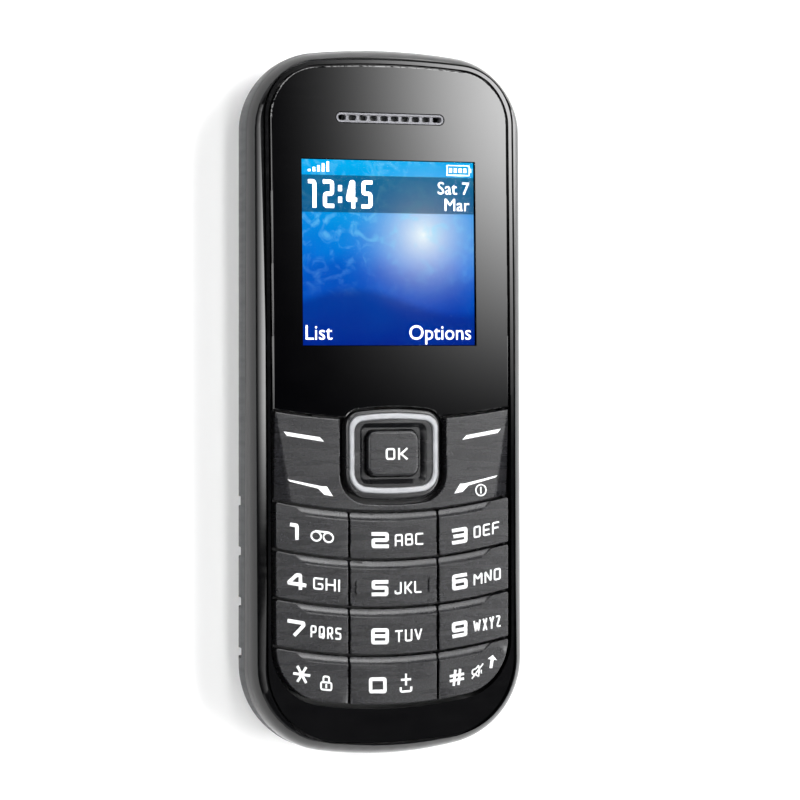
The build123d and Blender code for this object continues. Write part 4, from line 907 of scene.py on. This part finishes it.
# Floor: the pale surface that the phone lies on.
# It stays under the rear cover, so a phone lifted off its cover leaves that on the floor.
floor_reach = 6.0
floor_glow = 0.12
bpy.ops.object.select_all(action="DESELECT")
bpy.ops.mesh.primitive_plane_add(size=2 * floor_reach, location=(0, 0, 0))
floor = bpy.context.active_object
floor.name = "floor"
floor.data.transform(Matrix.Translation((0, 0, cad_box[0][2])))
floor_white = finish_of("pale_floor", "f4f4f4", "f8f8f8", 0.7, 0.8, patch=3.0)
floor.data.materials.append(floor_white)
nodes, join = floor_white.node_tree.nodes, floor_white.node_tree.links.new
surface = nodes["Principled BSDF"]
surface.inputs["Specular IOR Level"].default_value = 0.0
path = nodes.new("ShaderNodeLightPath")
seen = worked(
    nodes, join, "MAXIMUM", path.outputs["Is Camera Ray"], path.outputs["Is Glossy Ray"]
)
seen = worked(nodes, join, "MAXIMUM", seen, path.outputs["Is Transmission Ray"])
surface.inputs["Emission Color"].default_value = tone("ffffff")
join(worked(nodes, join, "MULTIPLY", seen, floor_glow), surface.inputs["Emission Strength"])
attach(floor, "cover")


# Studio light: soft panels round the table, the main ones above right and upright at the left.
# Their soft edges draw the fade on the window and the lines on the frame.
def soft_panel(name, low, high, strength, fades, fills=True):
    """Glowing sheet between two corners, its light fading in along the given axes."""
    bpy.ops.object.select_all(action="DESELECT")
    bpy.ops.mesh.primitive_plane_add(size=1)
    sheet = bpy.context.active_object
    sheet.name = name
    spans = [high[axis] - low[axis] for axis in range(3)]
    flat = spans.index(0)
    level_axes = [axis for axis in range(3) if axis != flat]
    shape = Matrix.Identity(4)
    for column, axis in enumerate([*level_axes, flat]):
        for row in range(3):
            shape[row][column] = (spans[axis] or 1.0) if row == axis else 0.0
    centre = [(low[axis] + high[axis]) / 2 for axis in range(3)]
    sheet.data.transform(Matrix.Translation(centre) @ shape)
    material = bpy.data.materials.new(name)
    material.use_nodes = True
    nodes, join = material.node_tree.nodes, material.node_tree.links.new
    nodes.clear()
    out = nodes.new("ShaderNodeOutputMaterial")
    light = nodes.new("ShaderNodeEmission")
    place = nodes.new("ShaderNodeTexCoord")
    axes = nodes.new("ShaderNodeSeparateXYZ")
    join(place.outputs["Object"], axes.inputs["Vector"])
    total = strength
    for axis, start, end, bend in fades:
        part = ranged(nodes, join, axes.outputs[axis], start, end, kind="SMOOTHSTEP")
        part = worked(nodes, join, "POWER", part, bend)
        total = worked(nodes, join, "MULTIPLY", part, total)
    join(total, light.inputs["Strength"])
    join(light.outputs["Emission"], out.inputs["Surface"])
    sheet.data.materials.append(material)
    sheet.visible_camera = False
    sheet.visible_shadow = False
    sheet.visible_diffuse = fills


soft_panel(
    "soft_light_right", (0.36, -0.1, 1.2), (1.0, 0.85, 1.2), 17.0,
    [("X", 0.36, 0.58, 2.4), ("Y", -0.08, 0.235, 1.6)],
)
soft_panel(
    "soft_light_left", (-1.2, -0.14, 0.02), (-1.2, 0.75, 1.25), 10.5,
    [("Z", 0.04, 0.8, 1.2), ("Y", -0.11, 0.0, 1.0)],
)
soft_panel(
    "soft_light_left_low", (-1.21, -0.75, 0.02), (-1.21, -0.02, 1.25), 1.7,
    [("Z", 0.04, 0.8, 1.2)],
)
soft_panel(
    "soft_light_right_low", (0.62, -0.6, 1.2), (1.4, 0.1, 1.2), 15.0, [("X", 0.6, 0.9, 1.0)],
)
soft_panel("soft_light_above", (-0.1, -0.8, 1.2), (0.1, 0.8, 1.2), 6.0, [("X", -0.3, -0.1, 1.0)])
soft_panel(
    "soft_light_front", (-0.3, -1.2, 0.1), (0.9, -1.2, 1.0), 2.7,
    [("Z", 0.1, 0.5, 1.0), ("X", 1.0, 0.2, 1.0)], False,
)
soft_panel(
    "soft_light_back", (-0.7, 1.2, 0.05), (1.2, 1.2, 0.6), 9.0, [("Z", 0.08, 0.42, 1.0)], False,
)
soft_panel(
    "soft_light_corner", (-0.75, 1.21, 0.4), (-0.25, 1.21, 1.1), 9.0, [("Z", 0.3, 0.8, 1.0)], False,
)

world = bpy.data.worlds.new("studio")
bpy.context.scene.world = world
world.use_nodes = True
nodes, join = world.node_tree.nodes, world.node_tree.links.new
sky = nodes["Background"]
place = nodes.new("ShaderNodeTexCoord")
axes = nodes.new("ShaderNodeSeparateXYZ")
join(place.outputs["Generated"], axes.inputs["Vector"])
rise = ranged(nodes, join, axes.outputs["Z"], 0.05, 0.2, kind="SMOOTHSTEP")
join(mixed(nodes, join, rise, "dcdcde", "3c3c3e"), sky.inputs["Color"])
sky.inputs["Strength"].default_value = 1.0


# Camera: level with the middle of the upright phone in the picture, a little to its left.
# The image's up is the phone's length.
yaw = radians(22.0)
pitch = radians(0.637)
roll = radians(-0.245)
camera_distance = 450.0
look_height = 8.0
shift_across = 2.944
shift_up = 0.349
pixels_per_mm = 6.475
image_width = 800
sensor = 36.0
back = Vector((-sin(yaw) * cos(pitch), sin(pitch), cos(yaw) * cos(pitch)))
across = Vector((0, 1, 0)).cross(back).normalized()
upward = back.cross(across)
level_across = across * cos(roll) + upward * sin(roll)
level_up = upward * cos(roll) - across * sin(roll)
stand = (
    Vector((0, 0, look_height)) + back * camera_distance
    + level_across * shift_across + level_up * shift_up
)
camera_data = bpy.data.cameras.new("camera")
camera_data.sensor_width = sensor
camera_data.lens = sensor * pixels_per_mm * camera_distance / image_width
camera_data.clip_start = 0.01
camera_data.clip_end = 50
camera = bpy.data.objects.new("camera", camera_data)
bpy.context.scene.collection.objects.link(camera)
axes = Matrix((level_across, level_up, back)).transposed().to_4x4()
camera.matrix_world = Matrix.Translation(stand * millimetre) @ axes
bpy.context.scene.camera = camera
bpy.context.scene.view_settings.view_transform = "Standard"
